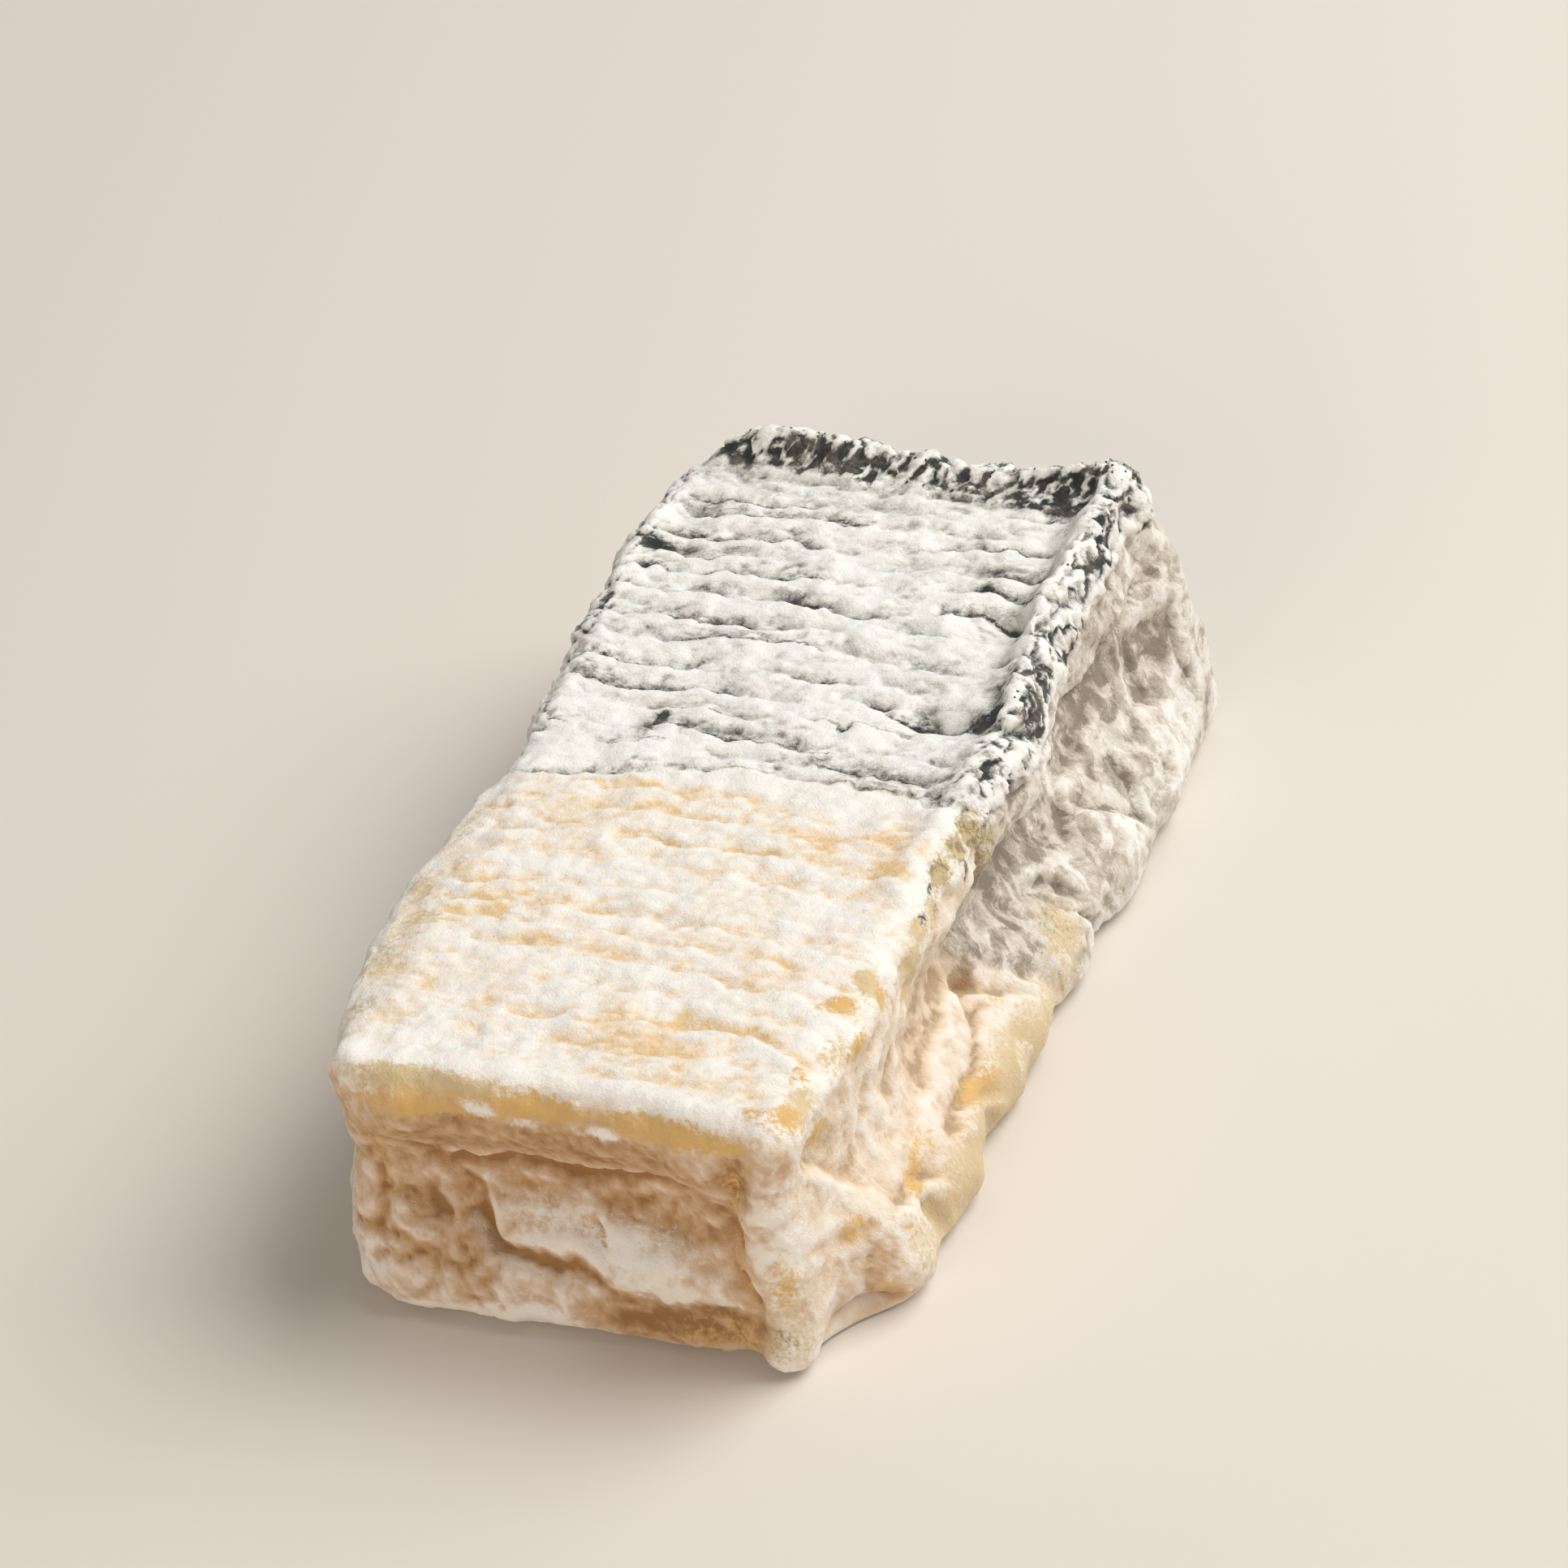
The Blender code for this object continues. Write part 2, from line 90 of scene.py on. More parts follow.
class Side(Enum):
    """A side of the brick as seen from outside: its right-hand way, its upward way and its outward way."""

    TOP = ((1, 0, 0), (0, 1, 0), (0, 0, 1))
    NEAR = ((1, 0, 0), (0, 0, 1), (0, -1, 0))
    RIGHT = ((0, 1, 0), (0, 0, 1), (1, 0, 0))
    LEFT = ((0, -1, 0), (0, 0, 1), (-1, 0, 0))
    FAR = ((-1, 0, 0), (0, 0, 1), (0, 1, 0))

    def flat(self, points: "Array") -> "Array":
        """The points as seen on this side: how far to the right and how far up each is."""
        return points @ np.array(self.value[:2], float).T

    def facing(self, out: "Array") -> "Array":
        """1 where the rind faces this side and 0 where it faces away."""
        return smooth_step(0.2, 0.55, out @ np.array(self.value[2], float))


# ---------------------------------------------------------------- curves and noise


def gradient_noise(points: Array, seed: int) -> Array:
    """Smooth noise with hills about one unit across.

    Args:
        points: Places, one row each.
        seed: Which noise it is.

    Returns:
        A value from about -1 to 1 for each place.
    """
    cell = np.floor(points).astype(np.int64)
    inside = points - cell
    ease = inside**3 * (inside * (inside * 6 - 15) + 10)
    total = np.zeros(len(points))
    for corner in np.ndindex(2, 2, 2):
        at = (cell + corner).astype(np.uint32)
        mixed = at[:, 0] * np.uint32(374761393) + at[:, 1] * np.uint32(668265263)
        mixed += at[:, 2] * np.uint32(2246822519) + np.uint32(seed * 97531 + 1)
        mixed = (mixed ^ (mixed >> np.uint32(13))) * np.uint32(1274126177)
        mixed ^= mixed >> np.uint32(16)
        slope = np.stack([(mixed >> np.uint32(s) & np.uint32(1023)) / 511.5 - 1 for s in (0, 10, 20)], 1)
        share = np.where(corner, ease, 1 - ease).prod(axis=1)
        total += share * (slope * (inside - corner)).sum(axis=1)
    return total * 1.5


def fractal_noise(points: Array, seed: int, octaves: int = 3) -> Array:
    """Noise with finer and finer hills added, each at half the height of the last."""
    return sum(gradient_noise(points * 2.03**n, seed + n) * 0.5**n for n in range(octaves))


def creased_noise(points: Array, seed: int, octaves: int = 2) -> Array:
    """Rounded swellings, near 1, that meet in sharp creases, near 0."""
    return sum(np.abs(gradient_noise(points * 1.9**n, seed + n)) * 0.55**n for n in range(octaves))


def layered_noise(points: Array, seed: int, layers: float = 2.0) -> Array:
    """Thin overlapping layers, each with a steep edge and a gentle slope behind it, from 0 to 0.8.

    Args:
        points: Where they are read.
        seed: Which layers they are.
        layers: How many rise over one hill of the noise.

    Returns:
        The height at each point.
    """
    part = gradient_noise(points, seed) * layers
    part = part - np.floor(part)
    return smooth_step(0.0, 0.2, part) - part


def smooth_step(low: float, high: float, value: Array) -> Array:
    """0 below low, 1 above high, and an even rise between."""
    t = np.clip((value - low) / (high - low), 0, 1)
    return t * t * (3 - 2 * t)


def bell(value: Array, centre: float, width: float) -> Array:
    """1 at the centre, falling to nothing about two widths away."""
    return np.exp(-(((value - centre) / width) ** 2))


@dataclass(frozen=True)
class Waves:
    """Soft rises and dips of a height, with the size of one in millimetres."""

    height: float
    size: Place | float
    seed: int

    def at(self, points: Array) -> Array:
        """Their height at each point."""
        return self.height * gradient_noise(points / self.size, self.seed)


@dataclass(frozen=True)
class Blotches:
    """An uneven share that swings about a middle value, with the size of a blotch in millimetres."""

    middle: float
    swing: float
    size: Place | float
    seed: int
    most: float = 1.0

    def at(self, points: Array) -> Array:
        """The share at each point, from 0 to the most."""
        return np.clip(self.middle + self.swing * gradient_noise(points / self.size, self.seed), 0, self.most)


@dataclass(frozen=True)
class Bend:
    """How far a pattern strays from straight, as a share of its size, over bends of a length."""

    share: float
    length: float
    seed: int

    def at(self, points: Array) -> Array:
        """How far the pattern is moved at each point."""
        return self.share * fractal_noise(points / self.length, self.seed)[:, None]


@dataclass(frozen=True)
class Puckers:
    """Rounded swellings that meet in sharp creases. A swelling stops rising at the cap."""

    height: float
    size: Place
    seed: int
    bend: Bend | None = None
    cap: float = 0.8
    level: float = 0.35

    def at(self, points: Array) -> Array:
        """Their height at each point, above zero where a swelling is higher than the level."""
        bent = points / self.size + (self.bend.at(points) if self.bend else 0.0)
        return self.height * (np.minimum(creased_noise(bent, self.seed), self.cap) - self.level)


@dataclass(frozen=True)
class Layers:
    """Thin layers that overlap like tiles."""

    height: float
    size: Place
    seed: int
    bend: Bend
    count: float = 2.0
    level: float = 0.35

    def at(self, points: Array) -> Array:
        """Their height at each point, above zero where a layer is higher than the level."""
        bent = points / self.size + self.bend.at(points)
        return self.height * (layered_noise(bent, self.seed, self.count) - self.level)


@dataclass(frozen=True)
class Ridges:
    """Wandering lines, which run where a soft noise is zero."""

    size: Place
    seed: int
    bend: Bend

    def distance(self, points: Array) -> Array:
        """How far each point is from its nearest line, above zero on one side and below it on the other."""
        return gradient_noise(points / self.size + self.bend.at(points), self.seed)


@dataclass(frozen=True)
class Profile:
    """A smooth curve through (place, value) stations."""

    stations: Stations

    def at(self, place: Array) -> Array:
        """The curve's value at each place, held level past its ends.

        Args:
            place: Places along the curve, in millimetres.

        Returns:
            Values in millimetres.
        """
        places, values = np.array(self.stations, float).T
        slopes = np.gradient(values, places)
        place = np.clip(place, places[0], places[-1])
        i = np.clip(np.searchsorted(places, place) - 1, 0, len(places) - 2)
        step = places[i + 1] - places[i]
        t = (place - places[i]) / step
        start = (1 + 2 * t) * (1 - t) ** 2 * values[i] + t * (1 - t) ** 2 * step * slopes[i]
        return start + t**2 * (3 - 2 * t) * values[i + 1] + t**2 * (t - 1) * step * slopes[i + 1]


@dataclass(frozen=True)
class Wall:
    """One side of the brick: how far it reaches at its foot, its hollow waist and its rim."""

    foot: Profile
    waist: Profile
    rim: Profile

    def reach(self, place: Array, level: Array) -> Array:
        """How far the wall reaches from the brick's middle.

        Args:
            place: Places along the wall.
            level: Heights from 0, the base, to 1, the top.

        Returns:
            The reach at each point.
        """
        foot, waist, rim = self.foot.at(place), self.waist.at(place), self.rim.at(place)
        to_waist = smooth_step(0.12, 0.58, level)
        to_rim = smooth_step(0.58, 0.84, level)
        return foot + (waist - foot) * to_waist + (rim - waist) * to_rim


@dataclass(frozen=True)
class Swelling:
    """A swelling, or a hollow where its height is below zero, with its radii along the three axes."""

    centre: Place
    radii: Place
    height: float

    def at(self, points: Array) -> Array:
        """The height that it adds at each point."""
        away = (points - self.centre) / self.radii
        return self.height * np.exp(-(away**2).sum(axis=1))


@dataclass(frozen=True)
class Crease:
    """A fold line through the rind, shallow at its ends."""

    line: tuple[Place, ...]
    depth: float
    width: float

    def at(self, points: Array) -> Array:
        """The depth that it takes away at each point.

        Args:
            points: The points, in millimetres.

        Returns:
            The depth at each.
        """
        stops = np.array(self.line, float)
        nearest = np.full(len(points), 1000.0)
        run = np.zeros(len(points))
        for n, (start, end) in enumerate(zip(stops[:-1], stops[1:])):
            span = end - start
            share = np.clip((points - start) @ span / (span @ span), 0, 1)
            away = np.linalg.norm(points - start - share[:, None] * span, axis=1)
            run = np.where(away < nearest, (n + share) / (len(stops) - 1), run)
            nearest = np.minimum(nearest, away)
        shallow_ends = np.minimum(1, 0.35 + 3 * np.minimum(run, 1 - run))
        return self.depth * shallow_ends * bell(nearest, 0, self.width)


@dataclass(frozen=True)
class Ledge:
    """A step in the rind of one side: a lobe on the left of the line stands over what is on its right."""

    side: Side
    line: tuple[tuple[float, float], ...]
    height: float
    width: float = 3.0
    edge: float = 0.55

    def at(self, points: Array, out: Array) -> Array:
        """The height that it adds, above zero on the lobe and below zero under its edge.

        Args:
            points: The points of the rind.
            out: The outward direction at each.

        Returns:
            Heights in millimetres.
        """
        seen = self.side.flat(points)
        stops = np.array(self.line, float)
        nearest = np.full(len(points), 1000.0)
        signed = np.zeros(len(points))
        run = np.zeros(len(points))
        for n, (start, end) in enumerate(zip(stops[:-1], stops[1:])):
            span = end - start
            share = np.clip((seen - start) @ span / (span @ span), 0, 1)
            away = seen - start - share[:, None] * span
            length = np.linalg.norm(away, axis=1)
            left = np.sign(span[0] * away[:, 1] - span[1] * away[:, 0])
            closer = length < nearest
            run = np.where(closer, (n + share) / (len(stops) - 1), run)
            signed = np.where(closer, left * length, signed)
            nearest = np.minimum(nearest, length)
        ends = np.minimum(1, 0.15 + 4 * np.minimum(run, 1 - run))
        lobe = smooth_step(-self.edge, self.edge, signed)
        under = 0.8 * (1 - lobe) * bell(signed, 0, 0.55 * self.width)
        step = lobe * bell(signed, 0.6, self.width) - under
        return self.height * ends * step * self.side.facing(out)


@dataclass(frozen=True)
class Streak:
    """A stretch of a crevice that shows its tint, from one place across the width to another."""

    start: float
    end: float
    strength: float

    def at(self, x: Array) -> Array:
        """How strongly it shows at each place across the width."""
        rise = smooth_step(self.start - 2.5, self.start + 1.5, x)
        return self.strength * rise * (1 - smooth_step(self.end - 1.5, self.end + 2.5, x))


@dataclass(frozen=True)
class Crevice:
    """A crevice across the top, between two rolls of rind that the draining mat left."""

    line: Profile
    depth: float = 1.0
    streaks: tuple[Streak, ...] = ()
    near_width: float = 0.6
    far_width: float = 2.4
    tint_reach: float = 2.2
    faint: float = 0.12

    def beyond(self, points: Array, wiggle: Array) -> Array:
        """How far each point lies beyond the crevice, towards the ash end."""
        return points[:, 1] + wiggle - self.line.at(points[:, 0])

    def sink(self, points: Array, wiggle: Array) -> Array:
        """The depth that it takes away: steep on its near side, and a long slope up beyond it.

        Args:
            points: The points, in millimetres.
            wiggle: How far its line is moved at each.

        Returns:
            The depth at each.
        """
        away = self.beyond(points, wiggle)
        uneven = Blotches(0.7, 1.6, (11, 3, 30), self.seed, 1.6).at(points)
        width = np.where(away > 0, self.far_width, self.near_width)
        return self.depth * uneven * np.exp(-((np.abs(away) / width) ** 1.3))

    def tint(self, points: Array, wiggle: Array) -> Array:
        """How strongly its streaks show at each point, on the valley and on the slope beyond it that faces
        the near end: partly bare ash or orange rind, partly painted shade.

        Args:
            points: The points, in millimetres.
            wiggle: How far its line is moved at each.

        Returns:
            The strength at each.
        """
        away = self.beyond(points, wiggle)
        reach = self.tint_reach + Waves(1.5, (7, 40, 40), self.seed).at(points)
        reach += Waves(1.1, (2.2, 40, 40), self.seed + 1).at(points)
        slope = smooth_step(-0.5, 0.4, away) * (1 - smooth_step(reach - 1.0, reach + 0.8, away))
        return slope * self.shown(points[:, 0])

    @property
    def seed(self) -> int:
        """The crevice's own noise."""
        return int(abs(self.line.stations[0][1]) * 7)

    def shown(self, x: Array) -> Array:
        """How strongly its streaks show at each place across the width."""
        return sum((s.at(x) for s in self.streaks), np.full(len(x), self.faint))


@dataclass(frozen=True)
class Patch:
    """A place where a tint shows, with radii across, lengthways and upwards."""

    mark: Mark
    centre: Place
    radii: Place
    strength: float

    def at(self, points: Array) -> Array:
        """How strongly it shows at each point."""
        away = (points - self.centre) / self.radii
        return self.strength * np.exp(-((away**2).sum(axis=1) ** 1.3))


def crevice(ys: tuple[float, ...], depth: float, *streaks: tuple[float, float, float]) -> Crevice:
    """A crevice from its places along the length, at even steps across the width.

    Args:
        ys: Its places at x = -38, -26, -14, -2, 10, 22 and 34.
        depth: How deep it is.
        streaks: The start, end and strength of each streak.

    Returns:
        The crevice.
    """
    line = Profile(tuple((-38.0 + 12.0 * n, y) for n, y in enumerate(ys)))
    return Crevice(line, depth, tuple(Streak(*s) for s in streaks))


def patches(mark: Mark, *rows: tuple[Place, Place, float]) -> tuple[Patch, ...]:
    """Patches of one tint, from the centre, the radii and the strength of each."""
    return tuple(Patch(mark, *row) for row in rows)


def ledges(side: Side, *rows: tuple[object, ...]) -> tuple[Ledge, ...]:
    """Ledges of one side, from the line and the height of each, and its width and edge where they differ."""
    return tuple(Ledge(side, *row) for row in rows)


# ---------------------------------------------------------------- the sizes of the brick


def right_wall() -> Wall:
    """The long wall on the +X side, whose foot spreads in scallops.

    Returns:
        Its outline at each height.
    """
    return Wall(
        foot=Profile((
            (-80, 36.8), (-73, 37.2), (-68, 40.6), (-62, 46.0), (-56, 46.9), (-51.5, 45.5), (-47, 46.9),
            (-38, 46.6), (-29, 44.2), (-22, 45.6), (-14, 45.2), (-8, 46), (0.5, 44.5), (6, 46), (14, 46),
            (20, 45.6), (28, 47.3), (38, 47.4), (48, 48.2), (58, 46.9), (68, 47.2), (76, 46.4),
        )),
        waist=Profile((
            (-77, 35), (-60, 36.5), (-48, 36.5), (-30, 35.5), (-14, 33), (0, 35), (30, 35.5), (58, 38.5),
            (70, 43.5), (76, 45),
        )),
        rim=Profile((
            (-77, 36.5), (-60, 36.5), (-35, 37.5), (-11, 38.5), (-5, 39), (4, 39), (12, 41), (20, 40),
            (30, 38.5), (40, 36.5), (52, 37.5), (64, 37.5), (76, 37.5),
        )),
    )  # fmt: skip


def left_wall() -> Wall:
    """The long wall on the -X side.

    Returns:
        Its outline at each height.
    """
    return Wall(
        foot=Profile((
            (-80, 35.5), (-70, 39), (-52, 43), (-40, 42.5), (-26, 45.5), (-8, 43.5), (12, 46), (34, 44.5),
            (60, 46), (76, 44),
        )),
        waist=Profile(((-77, 34), (-60, 36.5), (-30, 36), (0, 34), (30, 35.5), (60, 37), (77, 36))),
        rim=Profile((
            (-77, 34.2), (-70, 36.3), (-60, 38.4), (-50, 40.8), (-42, 40.7), (-28, 40), (-18, 38.3),
            (-8, 36.9), (0, 36.1), (8, 37.2), (16, 36.8), (24, 37.6), (35, 38.6), (50, 39.3), (60, 38.5),
            (70, 36), (77, 31),
        )),
    )  # fmt: skip


def near_wall() -> Wall:
    """The plain end, under an overhanging lip.

    Returns:
        Its outline at each height.
    """
    return Wall(
        foot=Profile((
            (-38, 78.2), (-28, 80.9), (-20, 81), (-10, 81.8), (0, 80.8), (20, 80.8), (27, 79.5), (33, 80),
            (38, 77.5),
        )),
        waist=Profile(((-36, 77), (-26, 75), (-12, 73.6), (12, 73.6), (26, 76), (33, 80), (38, 78))),
        rim=Profile(((-36, 78), (-28, 79.4), (-18, 78.2), (0, 77), (12, 77.6), (25, 79), (36, 78))),
    )


def far_wall() -> Wall:
    """The ash end.

    Returns:
        Its outline at each height.
    """
    return Wall(
        foot=Profile(((-40, 76), (-10, 77.5), (12, 76.5), (40, 78.5))),
        waist=Profile(((-36, 75), (0, 73.5), (20, 74), (38, 78))),
        rim=Profile(((-36, 74), (-20, 76), (0, 76.8), (20, 77), (36, 78))),
    )


SWELLINGS: tuple[Swelling, ...] = tuple(Swelling(*row) for row in (
    ((33.5, -79.5, 4), (5.5, 5, 5.5), 2.2),  # the round foot under the near right corner
    ((41.5, -72, 0), (5.5, 6.5, 5.5), -7.0),  # the notch between it and the right wall's foot
    ((-36, -78, 5), (7, 6, 5), 0.3),  # the toe of the near left corner
    ((34, -79, 22), (4, 6, 17), 1.8),  # the rib up the near right corner
    ((12, -76, 15), (9, 6, 6), 1.8),  # swellings of the near end
    ((-3, -76, 20), (8, 6, 6), 1.6),
    ((-26, -77, 17), (5, 6, 9), 1.4),
    ((-12, -79, 8), (9, 6, 5), 1.0),
    ((15, -82, 6), (11, 5, 4), -2.0),  # the hollow over the near end's foot
    ((-36, -71, 40), (6, 8, 6), 0.1),  # the near left shoulder
    ((44, 24, 13), (6, 7, 8), 1.6),  # swellings of the right wall
    ((45, 50, 14), (6, 8, 8), 1.4),
    ((44, -14, 12), (6, 7, 8), 1.0),
    ((45, -40, 12), (6, 8, 8), 0.8),
    ((44, -60, 13), (6, 5, 9), 1.0),
    ((39.5, 76, 39), (5, 5, 5), 3.6),  # the far right shoulder under the rim
    ((44, 77, 28), (4, 4, 4), -0.8),
    ((40, 62, 22), (7, 6, 9), -1.2),  # hollows of the right wall
    ((38, 36, 27), (6, 8, 5), -1.6),
    ((38, 8, 24), (6, 9, 7), -1.6),
    ((37, -30, 28), (6, 8, 8), -1.2),
    ((37, -69, 32), (6, 6, 8), -2.2),
    ((29, 38, 42), (6, 4, 4), -1.6),  # hollows of the top beside the right rim
    ((27, 15, 42), (8, 2.6, 4), -1.6),
    ((-30, 57, 42), (5, 4, 4), -1.0),
))

# Smaller swellings and pits: the lobes of the ash rim, the pitted lump of the right wall and its hollows.
KNOBS: tuple[Swelling, ...] = tuple(Swelling(*row) for row in (
    ((38, 60, 45), (3.4, 5, 5), 0.9),
    ((38, 44, 44), (4, 5, 6), 1.0),
    ((38, 32, 45), (3.4, 3.4, 5), 0.9),
    ((38.5, 21, 45), (3.4, 5, 5), 1.1),
    ((40, 5, 42), (4, 6, 7), 1.0),
    ((40, -13, 41), (3.4, 5, 6), 0.8),
    ((37, 73, 46), (3, 3, 4), 0.8),
    ((46, 28, 11), (5, 5, 5), 1.2),
    ((46, 25, 14), (1.7, 1.5, 1.3), -1.5),
    ((47, 23, 12), (1.4, 1.2, 1.5), -1.4),
    ((48, 50, 13), (1.6, 1.2, 1.2), -1.3),
    ((-38.5, 26, 41), (2, 1.8, 2.2), 1.6),
    ((-8, -78, 30), (6, 4, 2.5), 0.5),
    ((8, -77, 21), (4, 4, 4), 0.8),
    ((20, -78, 22), (4, 4, 5), 0.8),
    ((-19, -77, 21), (2.6, 4, 5), 0.8),
    ((-33, -78, 16), (2.4, 4, 8), 0.6),
    ((2, -80, 8), (5, 4, 4), 0.9),
    ((-26, -81, 7), (4, 4, 4), 0.7),
))

CREASES: tuple[Crease, ...] = tuple(Crease(*row) for row in (
    (((37, 33, 48), (41, 27, 40), (40, 20, 33), (40, 11, 31),
      (39, 4, 29), (38, 0, 26), (38, -5, 21)), 2.6, 1.6),
    (((38, -6, 44), (37, -8, 34), (36, -12, 25), (38, -17, 15), (41, -21, 10)), 2.4, 2.0),
    (((37, 76, 36), (38, 62, 30), (38, 52, 30), (38, 40, 31), (39, 31, 30)), 1.1, 1.6),
    (((38, -49, 26), (41, -40, 19), (44, -33, 13), (46, -28, 4)), 1.3, 1.6),
    (((38, -70, 27), (41, -60, 19), (44, -55, 13), (46, -51, 4)), 1.3, 1.7),
    (((38, -14, 24), (41, -7, 16), (45, 0, 7)), 2.0, 1.5),
    (((40, 8, 18), (43, 14, 13), (46, 17, 4)), 1.6, 1.6),
    (((40, -34, 36), (38, -38, 28), (38, -36, 20)), 0.8, 1.6),
    (((28, -80, 37), (27, -76, 28), (27, -76, 18), (29, -80, 9)), 2.2, 1.8),
    (((-26, -77, 31), (-22, -77, 27), (-18, -75, 25), (-8, -74, 28),
      (3, -73, 25), (9, -74, 27), (20, -76, 29)), 1.2, 1.6),
    (((-16, -76, 24), (-14, -77, 17), (-11, -78, 13), (-6, -80, 12), (0, -79, 12), (5, -79, 10)), 1.6, 1.6),
    (((-30, -77, 30), (-29, -77, 20), (-30, -79, 10)), 0.9, 1.6),
    (((-22, -77, 26), (-21, -77, 20), (-20, -78, 13)), 0.9, 1.4),
    (((5, -75, 22), (4, -77, 17), (7, -78, 12)), 0.9, 1.4),
))

# The pinches between the lobes of the ash rim, and a groove of the far wall.
PINCHES: tuple[Crease, ...] = tuple(Crease(*row) for row in (
    (((34, 50, 45), (37, 51, 47), (41, 54, 41)), 1.6, 1.2),
    (((33, 36, 45), (37, 38, 47), (42, 44, 38)), 1.8, 1.2),
    (((34, 28, 44), (38, 29, 46), (42, 32, 39)), 1.6, 1.2),
    (((33, 12, 44), (37, 12, 46), (41, 16, 40)), 2.2, 1.3),
    (((37, -5, 46), (40, -6, 43), (41, -7, 38)), 1.4, 1.1),
    (((40, 55, 18), (42, 51, 17), (42, 47, 17)), 1.0, 1.1),
    (((36.5, 74, 45), (37, 67, 41), (37.5, 60, 38), (38, 54, 35)), 1.0, 0.9),
))

# The overlapping lobes of the walls and of the top, side by side with the way that each line runs.
LEDGES: tuple[Ledge, ...] = (
    # The near end: the seam under its lip, the lobe in its middle and those along its foot.
    *ledges(
        Side.NEAR,
        (
            ((20, 28), (15.8, 29), (10, 27), (3.2, 24.6), (-0.5, 26), (-7.5, 27.8),
             (-13, 26.5), (-18, 25), (-22, 27), (-26, 32)),
            0.5, 3.0, 1.6,
        ),
        (
            ((-15, 25), (-14, 19), (-12, 15), (-9, 13.5), (-4, 14), (-1, 14), (2, 13), (4.5, 11)),
            1.0, 3.0, 1.3,
        ),
        (((5, 10.5), (8, 10), (12, 10), (18, 9.5), (24, 9.5), (28, 9)), 0.8, 4.0, 1.8),
        (((-20.5, 27), (-21, 21), (-19, 14)), 0.4, 2.4, 1.4),
        (((-27, 31), (-28, 22), (-29, 12)), 0.4, 2.6, 1.4),
        (((-33, 13), (-27, 15), (-22, 11)), 0.4, 3.0, 1.3),
        (((-9, 12), (-12, 8), (-10, 2)), 0.5, 3.4, 1.3),
        (((0, 13), (-3, 9), (-2, 3)), 0.5, 3.4, 1.3),
        (((7, 23), (4, 19), (6, 14)), 0.35, 3.0, 1.4),
    ),
    # The right wall: its foot's lobes, those under the ash rim, the pitted lump and the far folds.
    *ledges(
        Side.RIGHT,
        (((-6, 9), (-12, 14), (-14, 16), (-19, 19)), 1.0, 3.0),
        (((-13, 13), (-18, 14), (-21, 13), (-24, 12), (-30, 11), (-36, 12)), 0.8, 2.4),
        (((-24, 5), (-28, 8), (-31, 10), (-36, 12), (-38, 12), (-42, 13)), 0.9, 2.4, 0.4),
        (((-46, 8), (-50, 12), (-53, 14), (-56, 14), (-61, 14)), 1.0, 2.8, 0.4),
        (((-18, 20), (-24, 19), (-33, 18), (-40, 17), (-48, 16)), 0.6, 3.0, 1.0),
        (((-30, 33), (-38, 29), (-44, 24), (-47, 18)), 0.6, 3.6, 1.0),
        (((-42, 36), (-50, 31), (-55, 24), (-56, 18)), 0.6, 3.6, 1.2),
        (((-60, 19), (-64, 23), (-68, 28), (-74, 36)), 0.9, 3.4, 1.3),
        (((-77, 22), (-71, 18), (-66, 16), (-61, 17)), 0.5, 3.0, 1.4),
        (((-5, 21), (0, 26), (4, 29), (11, 31), (20, 33), (27, 40)), 1.3, 4.5),
        (((-20, 21), (-16, 29), (-8, 33), (-6, 37)), 1.0, 3.6),
        (((33, 30), (44, 28), (52, 29), (62, 31), (72, 33)), 0.8, 4.0, 0.4),
        (((9, 18), (11, 17), (14, 15), (17, 12)), 0.9, 2.6),
        (((10, 15), (12, 12), (16, 8), (17, 5)), 1.0, 2.4),
        (
            ((48, 25), (44, 22), (39, 22), (36, 20), (30, 21), (26, 19), (24, 16), (21, 14), (19, 11)),
            0.8, 3.4, 0.4,
        ),
        (((37, 6), (36, 9), (33, 13), (26, 17), (22, 16)), 0.8, 3.0, 0.4),
        (((43, 17), (41, 13), (38, 9), (39, 6)), 0.9, 2.2),
        (((60, 27), (58, 20), (56, 14)), 0.6, 2.8, 0.4),
        (((70, 26), (68, 18), (66, 10)), 0.6, 2.8, 0.4),
        (((54, 13), (48, 9), (42, 8)), 0.9, 2.6),
    ),
    # The foot of the far lip and the inner edge of the ash rim.
    *ledges(
        Side.TOP,
        (((-33, 66), (-20, 67), (-5, 67), (8, 67), (23, 67.5), (33, 65)), 0.4, 1.6, 0.8),
        (((34, 64), (33, 56), (33.5, 48), (34, 40), (34, 30), (35, 20), (35, 12)), 0.5, 1.8, 0.9),
    ),
    # The left wall.
    *ledges(
        Side.LEFT,
        (((-60, 14), (-48, 20), (-36, 17), (-24, 22), (-12, 18)), 1.3, 3.6),
        (((-34, 32), (-22, 29), (-10, 31), (2, 28), (14, 31)), 1.2, 3.6),
        (((22, 10), (12, 14), (4, 13), (-6, 8)), 1.3, 3.0),
        (((66, 24), (54, 28), (44, 25), (32, 29), (24, 24)), 1.3, 3.6),
        (((62, 8), (52, 13), (42, 11), (36, 6)), 1.2, 3.0),
    ),
    # The far end.
    *ledges(
        Side.FAR,
        (((-26, 30), (-12, 27), (2, 30), (16, 27), (28, 31)), 1.3, 3.4),
        (((24, 9), (14, 14), (4, 12), (-8, 15), (-20, 10)), 1.3, 3.4),
    ),
)

